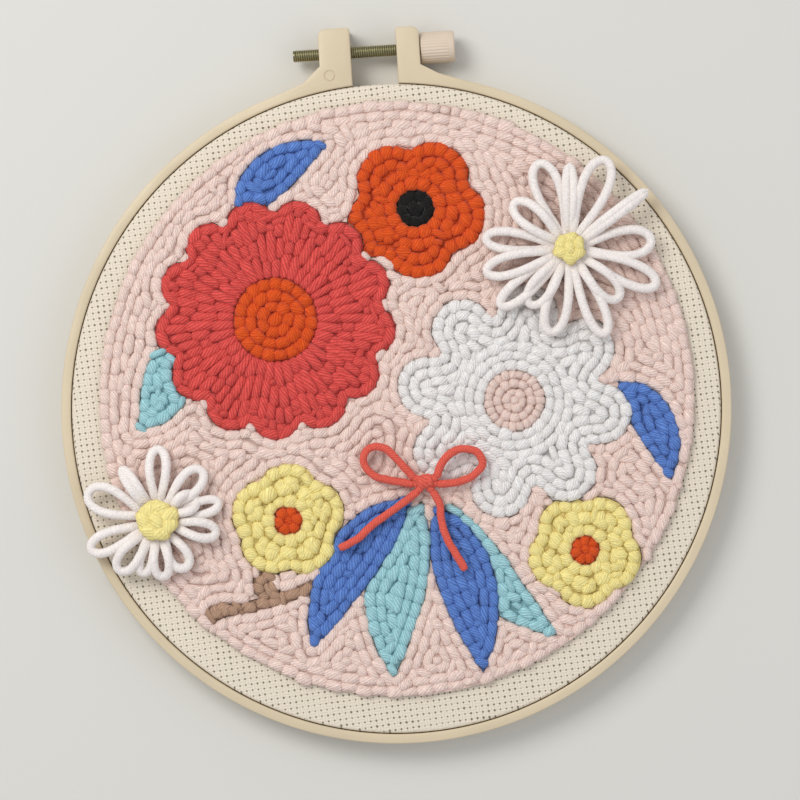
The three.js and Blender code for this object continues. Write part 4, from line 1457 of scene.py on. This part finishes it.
class NEEDLE_OT_daisies(bpy.types.Operator):
    """Two loose daisies of yarn loops, each with a knotted yellow heart"""
    bl_idname = "needle.daisies"
    bl_label = "Daisies"

    first_seed = SEED + 50
    gap = 0.0003
    # This yarn is softer than the others: fuller, with shallow grooves between its plies
    plump = 1.07
    groove_share = 0.4
    loop_step = 0.0008
    # A loop's swell: how much wider it is drawn than measured, its least width, how narrow it is
    # towards the heart, and where its crown lies and how sharp it is
    swell_share = 1.3
    swell_least = 0.00035
    waist = 1.4
    crown_place = 0.9
    crown = 1.5
    # The coil of yarn under the knots: its turns, its points, how far it starts outside the heart
    # and the radius where it ends
    coil_turns = 2.2
    coil_points = 70
    coil_reach = 0.0002
    coil_end = 0.0012
    # The knots round a heart's middle one: how far out they stand, as a share of its size, the
    # first one's angle and their height. Then a knot's size, length and width, all as shares, how
    # far it sinks into the petals and how much its direction varies.
    knot_ring = (0.58, 0.4, 0.86)
    knot_size = 0.92
    knot_length = 1.15
    knot_width = 0.86
    knot_sink = 0.0004
    knot_turn = 0.5

    def floor(self, daisy):
        return PILE_FLOOR + daisy["pile"] + self.gap

    def loop_line(self, daisy, loop, index, centre):
        """The line of one loop, out from the heart and back to it."""
        direction, reach, width, rise = loop
        angle = math.radians(direction)
        turn = np.linspace(0, 2 * math.pi, LOOP_STEPS)
        out = (1 - np.cos(turn)) / 2
        root = daisy["heart"] - LOOP_ROOT_INSET
        along = root + (reach - YARN_RADIUS - root) * out
        swell = self.swell_share * (width / 2 - YARN_RADIUS) + self.swell_least
        half_turn = np.sin(np.minimum(turn / 2, math.pi))
        aside = swell * np.sin(turn) * np.abs(half_turn) ** self.waist
        aside = aside + LOOP_ROOT_PART * np.cos(turn / 2)
        arch = np.abs(np.sin(math.pi * out * self.crown_place)) ** self.crown
        height = self.floor(daisy) + YARN_RADIUS + rise * arch + LOOP_STAGGER * (index % LOOP_LAYERS)
        return np.stack([
            centre.x + along * math.cos(angle) - aside * math.sin(angle),
            centre.y + along * math.sin(angle) + aside * math.cos(angle), height,
        ], 1)

    def execute(self, context):
        settings = context.scene.needle_yarn
        mould = StitchMould()
        for number, daisy in enumerate(DAISIES):
            rng = np.random.default_rng(self.first_seed + number)
            centre = Vector((HOOP_CENTRE.x + daisy["x"], HOOP_CENTRE.y + daisy["y"], 0))
            petals = Yarn()
            for index, loop in enumerate(daisy["loops"]):
                line = self.loop_line(daisy, loop, index, centre)
                wind_yarn(petals, evenly(line, self.loop_step), self.plump * YARN_RADIUS, settings, rng,
                          self.groove_share)
            turns = np.linspace(0, self.coil_turns * 2 * math.pi, self.coil_points)
            radius = np.linspace(daisy["heart"] + self.coil_reach, self.coil_end, self.coil_points)
            coil = np.stack([centre.x + radius * np.cos(turns), centre.y + radius * np.sin(turns),
                             np.full(self.coil_points, self.floor(daisy) + YARN_RADIUS)], 1)
            wind_yarn(petals, coil, YARN_RADIUS, settings, rng)
            petals.piece(f"daisy_{daisy['name']}_petals", "yarn_white", [yarn("soft_white", "loop")])
            self.heart(daisy, centre, mould, rng)
        return {"FINISHED"}

    def heart(self, daisy, centre, mould, rng):
        """Plump knots, one in the middle and the others round it."""
        name = f"daisy_{daisy['name']}_heart"
        low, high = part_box(name)
        knots = Yarn()
        places = [(0.0, 0.0, 1.0)]
        out, first, lower = self.knot_ring
        places += [(daisy["heart"] * out, 2 * math.pi * i / daisy["knots"] + first, lower)
                   for i in range(daisy["knots"])]
        size = daisy["heart"] * self.knot_size
        for radius, angle, rise in places:
            mould.lay(
                knots, centre.x + radius * math.cos(angle), centre.y + radius * math.sin(angle),
                low.z - self.knot_sink, angle + math.pi / 2 + rng.normal(0, self.knot_turn),
                size * self.knot_length, size * self.knot_width,
                (high.z - low.z) * rise + self.knot_sink, rng)
        knots.piece(name, "yarn_yellow", [yarn("yellow")], "knots")


class NEEDLE_OT_stage(bpy.types.Operator):
    """Plain pale floor and soft studio light"""
    bl_idname = "needle.stage"
    bl_label = "Stage"

    floor_size = 6.0
    floor_drop = 0.0001
    cloud_marks = 4.0
    cloud_shade = 0.985
    # Each light's place, size and tint
    key = ((-0.55, 0.55, 0.95), 0.6, (1.0, 0.985, 0.96))
    fill = ((0.8, -0.2, 0.8), 0.9, (0.95, 0.97, 1.0))
    # The sky's colour and strength
    sky = (0.93, 0.95, 1.0, 1.0)
    sky_power = 0.62

    def light(self, name, place, size, colour, power):
        """A soft square light that faces the picture."""
        data = bpy.data.lights.new(name, "AREA")
        data.size = size
        data.energy = power
        data.color = colour
        lamp = in_scene(name, data)
        lamp.location = place
        lamp.rotation_mode = "QUATERNION"
        lamp.rotation_quaternion = Vector(place).to_track_quat("Z", "Y")

    def execute(self, context):
        studio = context.scene.needle_studio
        deselect()
        bpy.ops.mesh.primitive_plane_add(size=self.floor_size, location=(0, 0, -self.floor_drop))
        floor = context.object
        floor.name = "floor"
        made = Finish("pale_floor", {"Roughness": 0.85})
        colour = list(studio.floor_colour)
        cloud = made.noise(made.place(), self.cloud_marks)
        tone = made.mix(cloud, darker(colour, self.cloud_shade), colour)
        floor.data.materials.append(made.finish(Base_Color=tone))
        self.light("key", *self.key, studio.key_power)
        self.light("fill", *self.fill, studio.fill_power)
        world = bpy.data.worlds.new("studio")
        world.use_nodes = True
        sky = world.node_tree.nodes["Background"].inputs
        sky[0].default_value = self.sky
        sky[1].default_value = self.sky_power
        context.scene.world = world
        context.scene.view_settings.view_transform = "Standard"
        return {"FINISHED"}


MAKERS = (NEEDLE_OT_camera, NEEDLE_OT_bow, NEEDLE_OT_cloth, NEEDLE_OT_rings, NEEDLE_OT_clamp,
          NEEDLE_OT_stitches, NEEDLE_OT_daisies, NEEDLE_OT_stage)


class NEEDLE_PT_panel(bpy.types.Panel):
    """Lists the operators in the order in which the picture is made"""
    bl_label = "Needle picture"
    bl_idname = "NEEDLE_PT_panel"
    bl_space_type = "VIEW_3D"
    bl_region_type = "UI"
    bl_category = "Needle picture"

    def draw(self, context):
        for maker in MAKERS:
            self.layout.operator(maker.bl_idname)


SETTINGS = {
    "needle_hoop": HoopProperties,
    "needle_cloth": ClothProperties,
    "needle_yarn": YarnProperties,
    "needle_studio": StudioProperties,
}
CLASSES = (*SETTINGS.values(), *MAKERS, NEEDLE_PT_panel)


def register():
    for item in CLASSES:
        bpy.utils.register_class(item)
    for name, group in SETTINGS.items():
        setattr(bpy.types.Scene, name, PointerProperty(type=group))


def unregister():
    for name in SETTINGS:
        delattr(bpy.types.Scene, name)
    for item in reversed(CLASSES):
        bpy.utils.unregister_class(item)


def main():
    register()
    for maker in MAKERS:
        area, name = maker.bl_idname.split(".")
        getattr(getattr(bpy.ops, area), name)()
    deselect()


if __name__ == "__main__":
    main()
